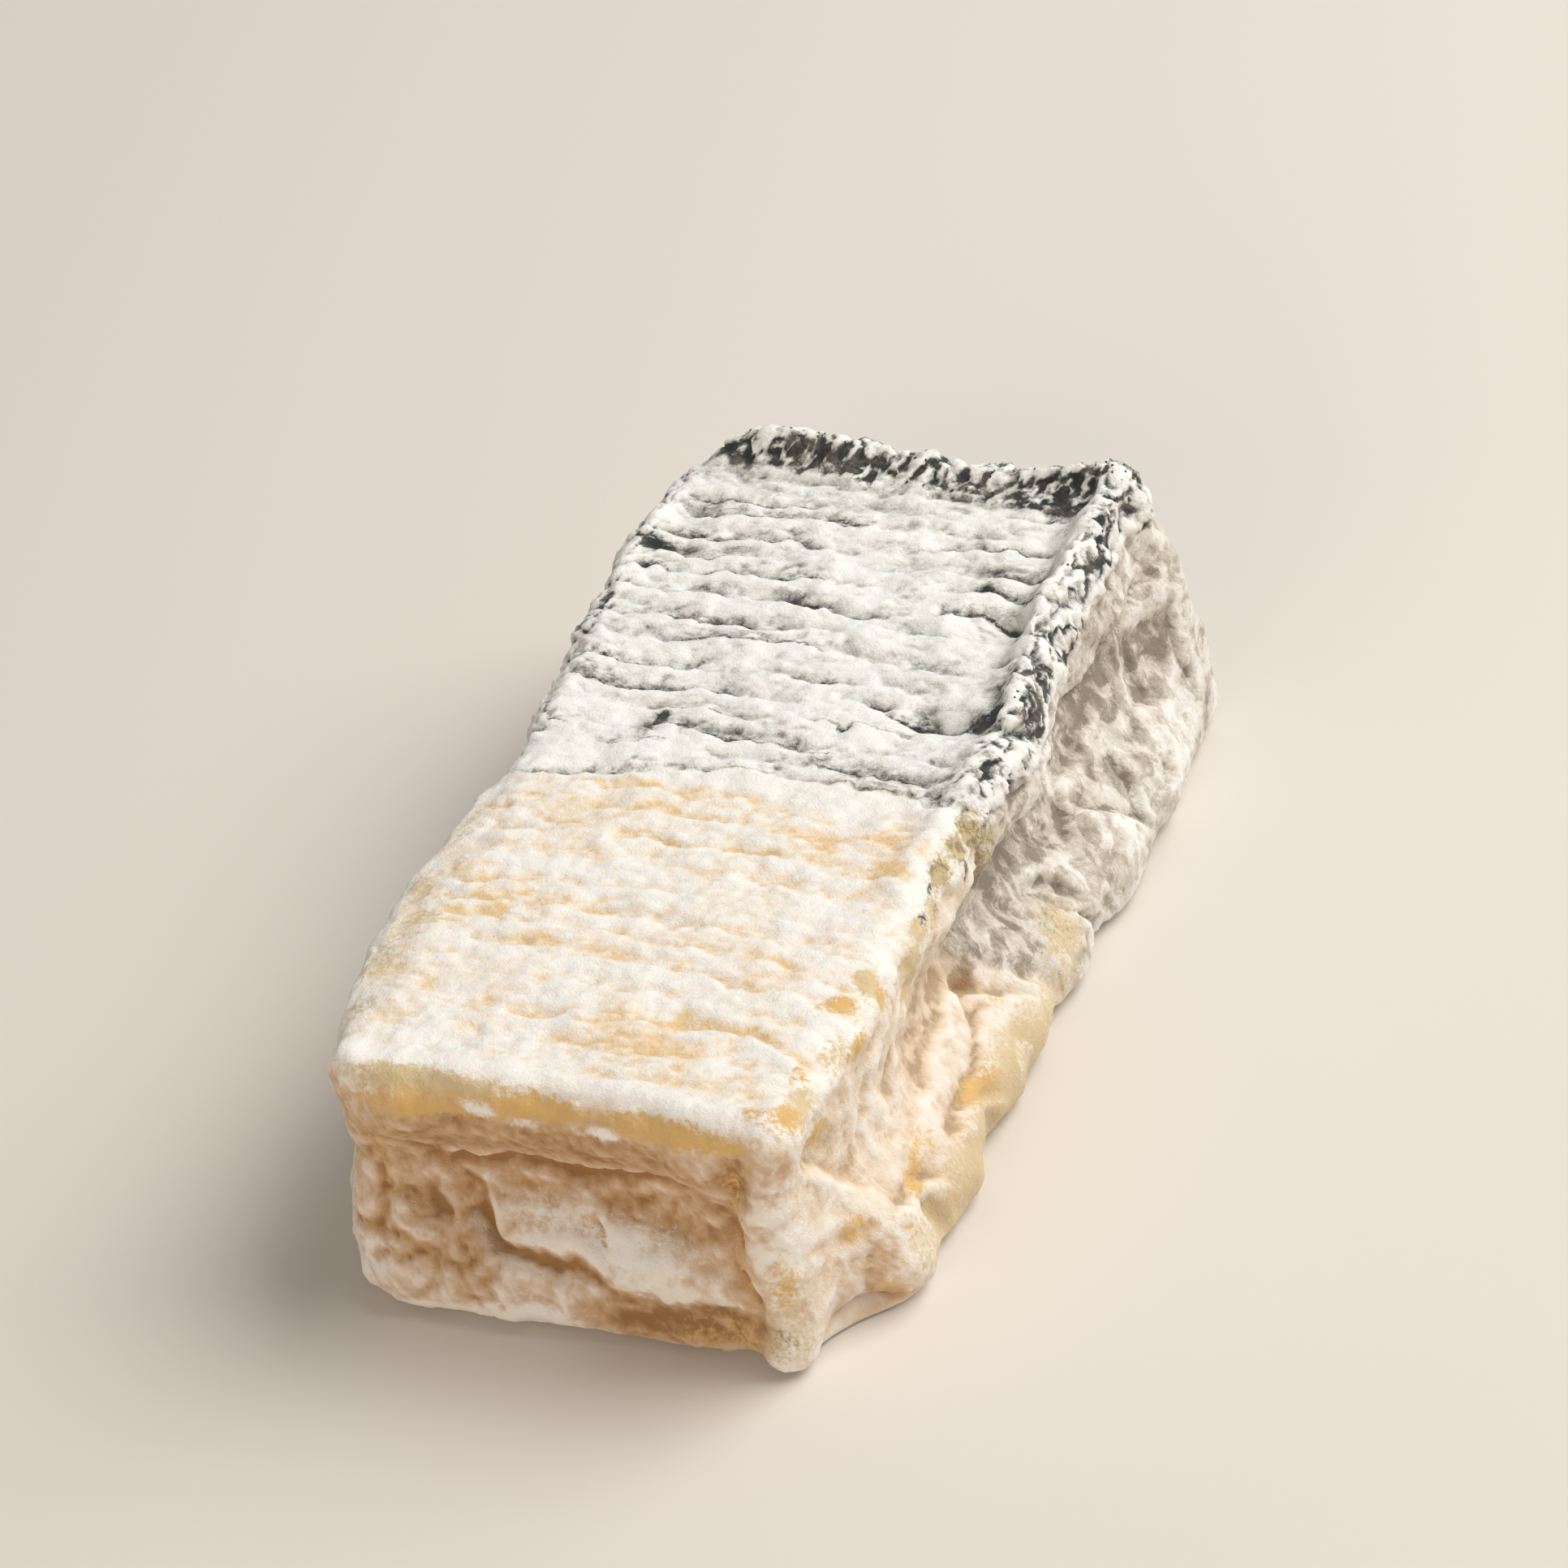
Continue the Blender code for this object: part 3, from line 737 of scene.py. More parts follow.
# The crevices of the ash half, from the far lip to the tone boundary, and then those of the plain half.
ASH_CREVICES: tuple[Crevice, ...] = (
    crevice((60, 59.5, 62, 62.5, 62, 64, 66), 0.7, (-30, -12, 0.7), (25, 33, 0.7)),
    crevice((54, 57, 58, 58.5, 58.5, 59, 61), 0.7, (-29, -12, 0.8), (-10, 0, 0.8)),
    crevice((50, 50.5, 52, 51.5, 54, 56.5, 55), 1.1, (-32, -16, 0.9), (-16, -6, 0.6), (12, 28, 0.8)),
    crevice((45, 46, 47.5, 47.5, 49, 50, 49), 0.8, (-38, -31, 1.0), (-30, -18, 0.7), (22, 31, 1.0)),
    crevice((41, 42, 43, 43.5, 44, 46, 42), 0.9, (-38, -28, 0.6), (-22, -4, 0.8), (21, 33, 1.1)),
    crevice((36, 36.5, 37, 37, 37.5, 40.5, 37), 1.0, (-27, -11, 0.8), (-9, -1, 0.8), (17, 36, 1.0)),
    crevice((31, 31, 30.5, 32, 33.5, 34, 34), 0.9, (-26, -9, 1.0), (12, 20, 0.4)),
    crevice((26, 25.5, 26.5, 28, 27, 27, 28), 0.8, (-20, 2, 0.9), (14, 20, 0.3)),
    crevice((19, 19, 19.5, 20.5, 20.5, 21, 21), 0.8, (-33, -14, 0.8), (0, 10, 0.7)),
    crevice((14, 14, 15, 15, 16.5, 14.5, 14.5), 1.1, (-34, -8, 0.6), (14, 38, 1.1)),
    crevice((8, 8.5, 10, 10, 10.5, 11.5, 11), 0.8, (-18, -6, 0.6), (6, 22, 0.7)),
    crevice((3, 3.5, 5, 5.5, 4, 5, 4), 0.8, (-36, -30, 0.8), (-18, 14, 0.75)),
    crevice((0, 0, 1, 1, 1, 0.5, -0.5), 0.7, (-22, -12, 0.6), (10, 30, 0.8)),
    crevice((-9, -8, -5.5, -2.5, -1.5, -2.5, -4.5), 1.1, (-34, -13, 1.2), (-13, 6, 0.7), (14, 37, 0.9)),
)
PLAIN_CREVICES: tuple[Crevice, ...] = (
    crevice((-11, -10.5, -9.5, -9, -9, -10, -11), 0.6, (-26, 6, 0.9)),
    crevice((-17, -15, -14, -14, -14.5, -15, -17), 0.7, (-30, 36, 0.8)),
    crevice((-22, -21, -20.5, -20, -20, -21, -22), 1.1, (-30, 34, 0.8)),
    crevice((-27, -26.5, -26, -25.5, -25.5, -26.5, -28), 0.6, (-30, -20, 0.8), (5, 32, 0.6)),
    crevice((-33, -33, -32, -31, -31, -32, -34), 0.8, (-30, -9, 0.9)),
    crevice((-38, -38, -37, -36.5, -37, -38, -39), 1.1, (-28, -8, 1.0), (8, 30, 0.6)),
    crevice((-43, -42, -41.5, -41, -41.5, -43, -45), 0.9, (-31, -22, 1.0), (5, 30, 0.8)),
    crevice((-48, -46.5, -46, -46.5, -47, -48, -50), 1.1, (-20, 22, 0.9)),
    crevice((-53, -53, -52.5, -52, -52.5, -53, -55), 0.6, (-20, 0, 0.3)),
    crevice((-60, -59.5, -60, -60, -58, -57.5, -61), 1.1, (-24, 2, 0.6), (2, 32, 1.1)),
    crevice((-66, -66, -65.5, -65, -64, -64, -66), 0.7, (0, 26, 0.8)),
    crevice((-71, -71.5, -71, -71, -70.5, -70, -70), 0.6, (0, 28, 0.6)),
)

PATCHES: tuple[Patch, ...] = (
    # Ash that the bloom has left bare: the far lip, the left shoulder, the right rim and the foot's edge.
    *patches(
        Mark.SOOT,
        ((-28, 69, 44), (5, 3, 5), 0.6),
        ((-22, 69, 43), (4, 3, 4), 0.5),
        ((-14, 70, 46), (5, 3, 4), 0.5),
        ((-6, 69, 43), (5, 3, 4), 0.5),
        ((11, 69, 44), (3, 2.4, 3), 0.7),
        ((24, 70, 44), (6, 3.4, 4), 0.7),
        ((35, 75, 46), (3, 2.4, 3), 1.1),
        ((-34, 65, 42), (3, 2, 6), 0.7),
        ((-33, 47.5, 42), (4, 2.6, 5), 1.0),
        ((-34, 35, 42), (4, 6, 5), 0.3),
        ((-38, 26, 41), (3, 2, 4), 1.6),
        ((-34, 17, 42), (3, 2.5, 4), 0.3),
        ((-34, 3, 42), (2.5, 2, 4), 0.8),
        ((-16, 8, 42), (1.2, 1.8, 3), 1.6),
        ((-17, 4, 42), (1.4, 1.6, 3), 1.2),
        ((-12, 5, 42), (1.2, 1.0, 3), 0.9),
        ((35.5, 61, 47), (2.4, 7, 4), 0.9),
        ((36, 50, 47), (2.4, 2.4, 4), 0.3),
        ((36, 35, 45), (2.4, 3, 4), 0.6),
        ((38, 28, 44), (2, 4, 4), 0.8),
        ((39.3, 18.5, 42.5), (2.2, 4.4, 4), 1.5),
        ((33, 15, 43), (3.4, 2.2, 3), 1.0),
        ((38, 5, 45), (3, 7, 4), 0.3),
        ((24, 67.3, 43), (9, 0.8, 3), 1.0),
        ((42, 28, 31), (4, 4, 3), 0.8),
        ((38.8, -12.2, 38.1), (1.2, 1.3, 2.4), 1.3),
        ((36.6, -20.7, 40.7), (1.2, 1.4, 1.4), 1.1),
        ((37.2, -25.6, 39.7), (1.3, 1.3, 1.4), 1.2),
        ((37.1, 2, 18.3), (1.6, 1.2, 3.4), 0.9),
        ((48, 68, 5), (3, 5, 5), 1.0),
        ((49, 22, 4), (2.6, 4, 3), 1.1),
        ((48, 11, 3), (2.4, 5, 4), 1.1),
        ((40, 70, 32), (2.4, 2.4, 3), 1.0),
    ),
    # Brown and grey where the walls are bare of bloom, with painted shade under the near lip and over the
    # near end's foot.
    *patches(
        Mark.TAN,
        ((38, 54, 27), (6, 7, 5), 0.9),
        ((38, 45, 25), (6, 6, 5), 0.8),
        ((38, 36, 25), (6, 4, 4), 0.8),
        ((41, 66, 22), (6, 7, 8), 0.6),
        ((38, 2, 27), (5, 6, 6), 0.9),
        ((37, -9, 28), (5, 8, 9), 0.9),
        ((35, 8, 24), (4, 6, 6), 1.5),
        ((39, -1, 37), (3, 4, 4), 1.4),
        ((38, -7.5, 17.5), (2.5, 3, 3), 0.7),
        ((35.5, -14, 20), (3, 4, 4), 1.4),
        ((34.5, -20, 24), (3, 4, 5), 0.9),
        ((35, -27, 23), (3, 4, 5), 0.7),
        ((38.6, -34, 18), (2, 2, 4), 0.6),
        ((37.5, 56, 36), (4, 7, 4), 0.9),
        ((41, 32, 32), (4, 6, 5), 0.8),
        ((46, 3, 5), (3, 4, 2.5), 0.9),
        ((-16, -82, 8), (2.5, 4, 3.5), 1.1),
        ((44, 40, 14), (6, 14, 8), 0.35),
        ((42, 20, 19), (6, 9, 6), 0.6),
        # The band under the near lip: tan rind, and painted shade under the lip.
        ((0, -78, 34), (34, 8, 4.6), 1.4),
        ((-8, -78, 17), (12, 8, 6), 0.4),
        # Painted shade along the near end's foot, in the hollow over it.
        ((15, -81, 4.5), (14, 7, 4.5), 1.7),
    ),
    # Butter yellow: the foot's lumps, the near lip, the left shoulder and the right rim.
    *patches(
        Mark.YELLOW,
        ((38, -44, 24), (4, 5, 5), 0.45),
        ((46, -8, 4), (5, 12, 9), 0.9),
        ((46, -24, 6), (5, 10, 9), 1.0),
        ((46, -42, 6), (5, 12, 8), 0.9),
        ((45, -58, 6), (5, 8, 8), 0.6),
        ((44, 8, 11), (4, 6, 8), 0.7),
        ((33, -80, 14), (5, 5, 7), 0.7),
        ((-19, -76.8, 41.8), (15, 2.6, 2.1), 1.5),
        ((-36, -52, 41), (4, 6, 6), 0.65),
        ((-37, -36, 41), (3, 5, 6), 0.75),
        ((-33, -44, 42), (4, 2.4, 6), 0.7),
        ((-35, -64, 42), (4, 4, 6), 0.6),
        ((-36, -22, 41), (3, 4, 6), 0.5),
        ((37.1, -27.6, 39.2), (2, 2.2, 2.2), 1.1),
        ((38, -23.3, 38), (2, 2.2, 2.5), 0.9),
        ((37, -31.7, 35.6), (2.5, 3.4, 3.4), 1.0),
        ((36, -32, 31), (2.5, 3, 3), 0.7),
        ((34.3, -41.6, 41.3), (2, 2.5, 2), 1.0),
        ((36.1, -42.6, 40.1), (2, 2.5, 2), 0.9),
        ((35.5, -57, 40), (2.4, 4, 3), 0.8),
        ((34.5, -67, 41), (2.4, 3, 3), 0.8),
        ((35, -72, 41.5), (3, 4, 4), 0.9),
        ((38, -60, 14), (5, 6, 3), 0.5),
        ((34, -80, 4), (4, 4, 4), 0.7),
        ((-31, -80, 4), (5, 5, 2.5), 0.5),
    ),
    # Ochre: the strip along the near lip, and the spots of the corners, the rim and the foot.
    *patches(
        Mark.OCHRE,
        ((36, -36, 33), (3, 7, 4), 0.5),
        ((38, -24, 34), (3, 4, 5), 0.5),
        ((-19, -78.5, 39), (14, 4, 2.4), 1.3),
        ((16, -78, 40.4), (18, 3, 2.2), 1.5),
        ((-3, -77, 40), (6, 4, 2.2), 1.2),
        # The groove beside the near right rib: ochre rind, and painted shade in the groove.
        ((27, -78, 24), (2.4, 6, 14), 0.8),
        ((-28, -78, 26), (2, 5, 8), 0.6),
        ((22, -82, 4), (8, 6, 5), 0.6),
        ((35, -66, 33.5), (2.5, 3, 3), 1.2),
        ((34.8, -73, 42.4), (3, 2.5, 2), 1.3),
        ((30.7, -74.5, 43.5), (3, 2, 2), 0.9),
        ((32.9, -63.8, 42), (1.5, 2.5, 2), 1.0),
        ((35.4, -64.5, 25.4), (2.5, 2.5, 3), 0.8),
        ((38.5, -66.5, 16.5), (3.5, 3, 2.2), 1.2),
        ((44.6, -60.3, 12.6), (2.5, 1.6, 3), 0.8),
        ((42, -66, 5), (3, 4, 2), 0.9),
        ((42.8, -29.5, 10.8), (2.5, 4, 2), 1.4),
        ((44.7, -25.5, 9), (3, 4, 2.5), 1.0),
        ((41.5, -46.5, 15.5), (3, 4, 2.5), 0.8),
        ((41.1, -13.4, 14.6), (2, 2.5, 1.5), 0.9),
        ((31.8, -49.1, 41.8), (3, 2.2, 3), 0.9),
        ((34, -47.2, 41.2), (2, 2.2, 2), 1.0),
        ((36.7, -42.4, 38.5), (1.8, 2, 2), 1.1),
        ((36.8, -52.1, 37.8), (2, 3.5, 2), 1.3),
        ((33.5, -80, 17), (2, 2.6, 5), 1.3),
        ((42.5, -52, 13.2), (3, 3.4, 1.6), 1.5),
    ),
    # Orange where the plain rind is thin, and partly painted shade under the near lip and in the groove
    # beside the near right rib.
    *patches(
        Mark.ORANGE,
        ((-32, -48, 42), (7, 20, 6), 0.5),
        ((-22, -38, 43), (9, 3, 6), 0.5),
        ((9, -63.5, 43), (10, 6, 6), 1.2),
        ((-6, -10, 43), (15, 2.4, 6), 0.6),
        ((0, -16, 43), (30, 4, 6), 0.35),
        ((27.9, -12.5, 42.5), (3.5, 1.5, 3), 1.2),
        ((30.6, -19.9, 42.9), (3, 2, 3), 1.2),
        ((33.2, -22.3, 43.2), (2, 2, 3), 0.8),
        ((19.4, -15.7, 42.1), (4, 2, 3), 1.0),
        ((0, -44, 43), (28, 4, 6), 0.3),
        ((38, -38, 26), (5, 5, 7), 0.4),
        ((41, -18, 6), (6, 8, 8), 0.3),
        # The band under the near lip: orange rind, and painted shade under the lip.
        ((0, -78, 35), (32, 5, 3), 0.6),
        # The groove beside the near right rib: orange rind, and painted shade in the groove.
        ((27, -78, 24), (3, 6, 16), 0.9),
        ((23, -79, 37), (2, 4, 1.4), 1.4),
        ((-7.5, -74, 29.5), (1.8, 4, 1.6), 1.4),
        ((-30, -78, 24), (4, 5, 6), 0.8),
    ),
    # Olive wrinkles along the right rim next to the ash.
    *patches(
        Mark.OLIVE,
        ((37.4, -6.5, 41), (2, 2.6, 3), 1.2),
        ((37.6, -12, 41.5), (2, 2.6, 2.5), 1.1),
        ((36.8, -17.3, 41.3), (2, 2.2, 2.5), 1.2),
        ((37.6, -22, 39), (1.6, 2, 2.2), 0.8),
        ((38.5, -4, 35), (3, 4, 6), 0.7),
        ((44, 8, 13), (4, 5, 8), 0.5),
        ((32.5, -81.6, 6.5), (2.6, 3, 3), 0.8),
    ),
    # The waxy lobes of the foot, which carry no bloom.
    *patches(
        Mark.WAXY,
        ((46, -16, 8), (6, 9, 6), 0.9),
        ((46, -32, 6), (6, 10, 6), 0.9),
        ((46, -47, 5), (6, 10, 7), 0.8),
        ((45, 10, 9), (4, 4, 5), 0.5),
    ),
    # White bloom, thick enough to hide what is under it.
    *patches(
        Mark.BLOOM,
        ((12, -79, 15), (10, 6, 6), 0.7),
        ((-3, -77, 19), (8, 4, 5), 0.65),
        ((-12, -83, 2), (12, 5, 3), 0.7),
        ((34, -81, 24), (3, 5, 16), 0.8),
        ((34, -83, 4), (4, 4, 4), 0.7),
        ((-31, -79, 42), (5, 4, 4), 0.9),
        ((-11, -78, 39.5), (4, 4, 1.1), 0.8),
        ((8, -78, 38), (3, 4, 1.0), 0.8),
        ((-5, -81, 5), (8, 4, 3), 0.6),
        ((-33, -79, 7), (5, 5, 5), 0.6),
        ((0, -75, 44.5), (34, 2.0, 2), 1.1),
        ((-11, -78, 38.5), (3, 3, 0.9), 0.9),
        ((-4, -78, 37.5), (3, 3, 1.0), 0.9),
        ((7, -78, 37.2), (4, 3, 0.9), 1.0),
        ((46, -16, 7), (2.5, 4.5, 3), 0.7),
        ((7.5, -78.5, 17), (5, 3, 4), 0.6),
        ((4, -5, 43), (38, 2.4, 5), 1.2),
        ((47, -30, 8), (3, 4, 6), 0.6),
        ((44, -70, 8), (5, 5, 6), 0.6),
        ((47, 48, 8), (5, 16, 7), 0.5),
        ((-34, 56, 42), (4, 4, 5), 0.9),
    ),
)


# ---------------------------------------------------------------- the rind


@dataclass(frozen=True)
class Regions:
    """How far each point of the rind belongs to each of its regions, from 0 to 1."""

    on_top: Array
    field: Array
    rim: Array
    lip: Array
    face: Array
    low: Array
    calm: Array
    waxy: Array
    ash_side: Array
    ash_wall: Array
    right_rim: Array

    def away_from(self, **shares: float) -> Array:
        """1 outside the named regions, and less by each one's share inside it."""
        return np.prod([1 - share * getattr(self, name) for name, share in shares.items()], axis=0)


@dataclass
class Rind:
    """The whole outside of the brick, one closed mesh that carries its tints as attributes."""

    half_width: float = 38.0
    half_length: float = 77.0
    height: float = 42.0
    edge_radius: float = 5.5
    top_radius: float = 4.5
    foot_radius: float = 3.0
    cells: tuple[int, int, int] = (130, 292, 58)
    lip_width: float = 3.3
    lip_inset: float = 3.6
    right: Wall = field(default_factory=right_wall)
    left: Wall = field(default_factory=left_wall)
    near: Wall = field(default_factory=near_wall)
    far: Wall = field(default_factory=far_wall)
    far_lip: Profile = Profile((
        (-38, -0.5), (-32, 4), (-26, 6.3), (-18, 6.4), (-8, 5.1), (0, 4.2), (12, 3), (20, 3.2), (27, 5),
        (32, 4.4), (38, 1.8),
    ))  # fmt: skip
    right_lip: Profile = Profile((
        (-77, 1.8), (-66, 0.2), (-45, -0.6), (-30, 0.2), (-18, 1.4), (-10, 2.2), (-4, 2.4), (2, 3.4),
        (8, 2.8), (14, 3.8), (22, 4.4), (30, 3.6), (40, 4), (52, 4.6), (64, 4.4), (76, 2.2),
    ))  # fmt: skip
    left_lip: Profile = Profile((
        (-77, 0.6), (-60, -0.4), (-40, -0.8), (0, 0), (17, 1.4), (30, 1), (50, 1.6), (66, 1), (76, -0.5),
    ))  # fmt: skip
    near_lip: Profile = Profile(((-38, 1.4), (-28, 1.4), (-12, 1.6), (0, 1), (18, 1.8), (28, 2), (38, 1.4)))
    boundary: Profile = Profile((
        (-38, -9), (-26, -8), (-14, -5.5), (-2, -2.5), (10, -1.5), (22, -2.5), (38, -5),
    ))  # fmt: skip
    roll_height: float = 0.45
    plain_depth: float = 0.65
    wander: tuple[Waves, ...] = (Waves(1.5, 9, 3), Waves(0.9, 3.5, 4), Waves(0.4, 1.6, 6))
    top_pinches: Puckers = Puckers(0.7, (5.5, 2.8, 6), 9, cap=0.7, level=0.3)
    top_wrinkles: Puckers = Puckers(0.22, (2.6, 1.5, 4), 10)
    top_waves: Waves = Waves(0.45, (9, 6, 9), 8)
    folds: Puckers = Puckers(0.42, (15, 20, 10), 12, Bend(0.45, 16, 11), cap=0.9, level=0.42)
    sags: Waves = Waves(0.77, (13, 15, 9), 13)
    foot_waves: Waves = Waves(1.0, 13, 21)
    small_waves: Waves = Waves(0.8, 5.5, 31)
    crags: Layers = Layers(0.9, (15, 20, 12), 45, Bend(0.4, 9, 44))
    crag_blotches: Blotches = Blotches(0.6, 1.4, 16, 46, 1.2)
    scales: Layers = Layers(0.65, (15, 13, 15), 48, Bend(0.3, 8, 47), count=2.6)
    wrinkles: Puckers = Puckers(0.4, (4, 5, 3.6), 42, Bend(0.5, 6, 41))
    lumps: Puckers = Puckers(0.9, (8, 8, 6.5), 65, Bend(0.3, 7, 63), level=0.4)
    small_lumps: Puckers = Puckers(0.15, (3.4, 3.4, 3), 66, Bend(0.3, 4, 64))
    worms: Puckers = Puckers(0.6, (3.0, 3.6, 3.0), 68, Bend(0.3, 4, 67))
    drape_lines: Ridges = Ridges((11, 9, 17), 58, Bend(0.5, 10, 57))
    drape_height: float = 0.5
    vein_lines: Ridges = Ridges((3.4, 4.2, 3.4), 56, Bend(0.35, 4, 55))
    vein_depth: float = 0.5
    crumbles: tuple[Waves, ...] = (Waves(0.25, 1.9, 51), Waves(0.08, 1.1, 52))
    stray_seeds: tuple[int, ...] = (34, 35, 36)
    stray_reach: float = 1.1
    grain_size: Place = (1.5, 1.1, 1.5)
    grain_height: float = 0.14

    def grid_box(self, name: str) -> bpy.types.Object:
        """A cube primitive cut into the cells, as an object of that name.

        Args:
            name: Its name.

        Returns:
            The object, a cube of 2 in each direction.
        """
        bpy.ops.mesh.primitive_cube_add(size=2)
        box = bpy.context.active_object
        box.name = name
        box.data.name = name
        mesh = bmesh.new()
        mesh.from_mesh(box.data)
        for axis in (1, 0, 2):
            lines = [e for e in mesh.edges if abs((e.verts[0].co - e.verts[1].co)[axis]) > 0.5]
            bmesh.ops.subdivide_edges(mesh, edges=lines, cuts=self.cells[axis] - 1)
        mesh.to_mesh(box.data)
        mesh.free()
        return box

    def rounded(self, unit: Array) -> Array:
        """The cube's points with its edges and corners rounded, as shares of the half sizes.

        Args:
            unit: The cube's points.

        Returns:
            The rounded points.
        """
        half = np.array([self.half_width, self.half_length, self.height / 2])
        points = unit * half
        radius = np.full(points.shape, self.edge_radius)
        radius[:, 2] = np.where(points[:, 2] > 0, self.top_radius, self.foot_radius)
        core = np.clip(points, radius - half, half - radius)
        out = (points - core) / radius
        length = np.linalg.norm(out, axis=1, keepdims=True)
        return (core + out / np.maximum(length, 1e-9) * radius) / half

    def lips(self, x: Array, y: Array) -> Array:
        """How high the rims along the four edges of the top stand over its field.

        Args:
            x: The places across the brick, in millimetres.
            y: The places along it.

        Returns:
            The height at each.
        """
        crest_x = self.half_width - self.lip_inset
        crest_y = self.half_length - self.lip_inset
        return (
            self.right_lip.at(y) * bell(x, crest_x, self.lip_width)
            + self.left_lip.at(y) * bell(x, -crest_x, self.lip_width)
            + self.far_lip.at(x) * bell(y, crest_y, self.lip_width)
            + self.near_lip.at(x) * bell(y, -crest_y, self.lip_width)
        )

    def drawn(self, shares: Array) -> Array:
        """The points moved to the brick's own walls, ends and top.

        Args:
            shares: The points as shares of the half sizes.

        Returns:
            The points in millimetres.
        """
        across, lengthways = shares[:, 0], shares[:, 1]
        level = (shares[:, 2] + 1) / 2
        x, y = across * self.half_width, lengthways * self.half_length
        sides = np.where(across > 0, self.right.reach(y, level), self.left.reach(y, level))
        ends = np.where(lengthways > 0, self.far.reach(x, level), self.near.reach(x, level))
        return np.stack([across * sides, lengthways * ends, level * (self.height + self.lips(x, y))], 1)

    def wiggle(self, points: Array) -> Array:
        """How far the crevices wander from their lines."""
        flat = points * (1, 1, 0)
        return sum(waves.at(flat) for waves in self.wander)

    def mat_relief(self, points: Array) -> Array:
        """The height of the rolls of rind across the top, with the crevices between them.

        Args:
            points: The points of the rind.

        Returns:
            Heights in millimetres.
        """
        wiggle = self.wiggle(points)
        ash_side = smooth_step(-10, 0, points[:, 1])
        sunk = sum(c.sink(points, wiggle) for c in ASH_CREVICES + PLAIN_CREVICES)
        rolls = self.roll_height - (self.plain_depth + (1 - self.plain_depth) * ash_side) * sunk
        return rolls + self.top_pinches.at(points) + self.top_wrinkles.at(points) + self.top_waves.at(points)

    def drapes(self, points: Array) -> Array:
        """The height of the thin soft ridges between the sagging hollows of the ash half's walls."""
        return self.drape_height * (bell(self.drape_lines.distance(points), 0, 0.2) - 0.25)

    def veins(self, points: Array) -> Array:
        """1 in the creases between the scales of the ash rims, and 0 on the scales."""
        return 1 - smooth_step(0.04, 0.24, np.abs(self.vein_lines.distance(points)))

    def crumble(self, points: Array) -> Array:
        """The height of the crumbly rind on the ash rims, cut by the creases between its scales."""
        return sum(waves.at(points) for waves in self.crumbles) - self.vein_depth * self.veins(points)

    def waxy(self, points: Array) -> Array:
        """1 on the smooth, bare lobes along the foot, and 0 elsewhere."""
        return np.clip(sum(p.at(points) for p in PATCHES if p.mark is Mark.WAXY), 0, 1)

    def stray(self, points: Array, seed: int) -> Array:
        """How far the ledges and creases stray one way."""
        return gradient_noise(points / 6, seed) + 0.5 * gradient_noise(points / 2.6, seed + 3)

    def bent(self, points: Array) -> Array:
        """The points as the ledges and creases see them, so that their lines wander."""
        moves = np.stack([self.stray(points, seed) for seed in self.stray_seeds], 1)
        return points + self.stray_reach * moves

    def regions(self, points: Array, out: Array) -> Regions:
        """The regions of the rind.

        Args:
            points: The drawn points.
            out: The outward direction at each.

        Returns:
            How far each point belongs to each region.
        """
        x, y, z = points.T
        from_side, from_end = self.half_width - np.abs(x), self.half_length - np.abs(y)
        on_top = smooth_step(0.55, 0.9, out[:, 2])
        ash_side = smooth_step(-8, -2, y)
        inner = smooth_step(3, 8, from_side) * smooth_step(6, 12, self.half_length - y)
        rim = smooth_step(33, 38, z) * (1 - inner)
        near_end = 1 - smooth_step(-74, -68, y)
        lip = smooth_step(27, 33, z) * smooth_step(0.0, 0.5, -out[:, 1]) * near_end
        face = smooth_step(0.3, 0.75, -out[:, 1]) * near_end * (1 - lip)
        right_rim = smooth_step(32.5, 35, x) * smooth_step(34, 38, z) * smooth_step(-77, -68, y)
        return Regions(
            on_top=on_top,
            field=on_top * smooth_step(1.5, 6, from_side) * smooth_step(3, 9, from_end),
            rim=rim,
            lip=lip,
            face=face,
            low=1 - smooth_step(6, 16, z),
            calm=(1 - smooth_step(-8, 30, y + 0.6 * z)) * (1 - on_top) * (1 - face),
            waxy=self.waxy(points),
            ash_side=ash_side,
            ash_wall=ash_side * (1 - on_top) * (1 - rim),
            right_rim=right_rim * (1 - ash_side),
        )

    def wall_relief(self, points: Array, on: Regions) -> Array:
        """The height of the folds, drapes, lumps, crags and wrinkles of the walls.

        Args:
            points: The drawn points.
            on: Their regions.

        Returns:
            Heights in millimetres.
        """
        folds = self.folds.at(points) + self.sags.at(points)
        lumps = self.lumps.at(points) + self.small_lumps.at(points)
        crags = self.crag_blotches.at(points) * self.crags.at(points)
        height = folds * on.away_from(on_top=1, low=0.6, lip=0.7)
        height += self.foot_waves.at(points) * on.away_from(on_top=1) * on.low
        height += self.small_waves.at(points) * on.away_from(on_top=0.4, ash_wall=0.5)
        height += self.drapes(points) * (on.ash_wall + 0.4 * on.calm)
        height += lumps * on.face + self.worms.at(points) * on.right_rim
        height += crags * on.away_from(on_top=1, waxy=0.8, lip=0.6, calm=0.8, ash_wall=0.75, face=0.7)
        fine = on.away_from(field=0.9, waxy=0.85, lip=0.85, calm=0.6, ash_wall=0.7, face=0.7)
        return height + self.wrinkles.at(points) * fine

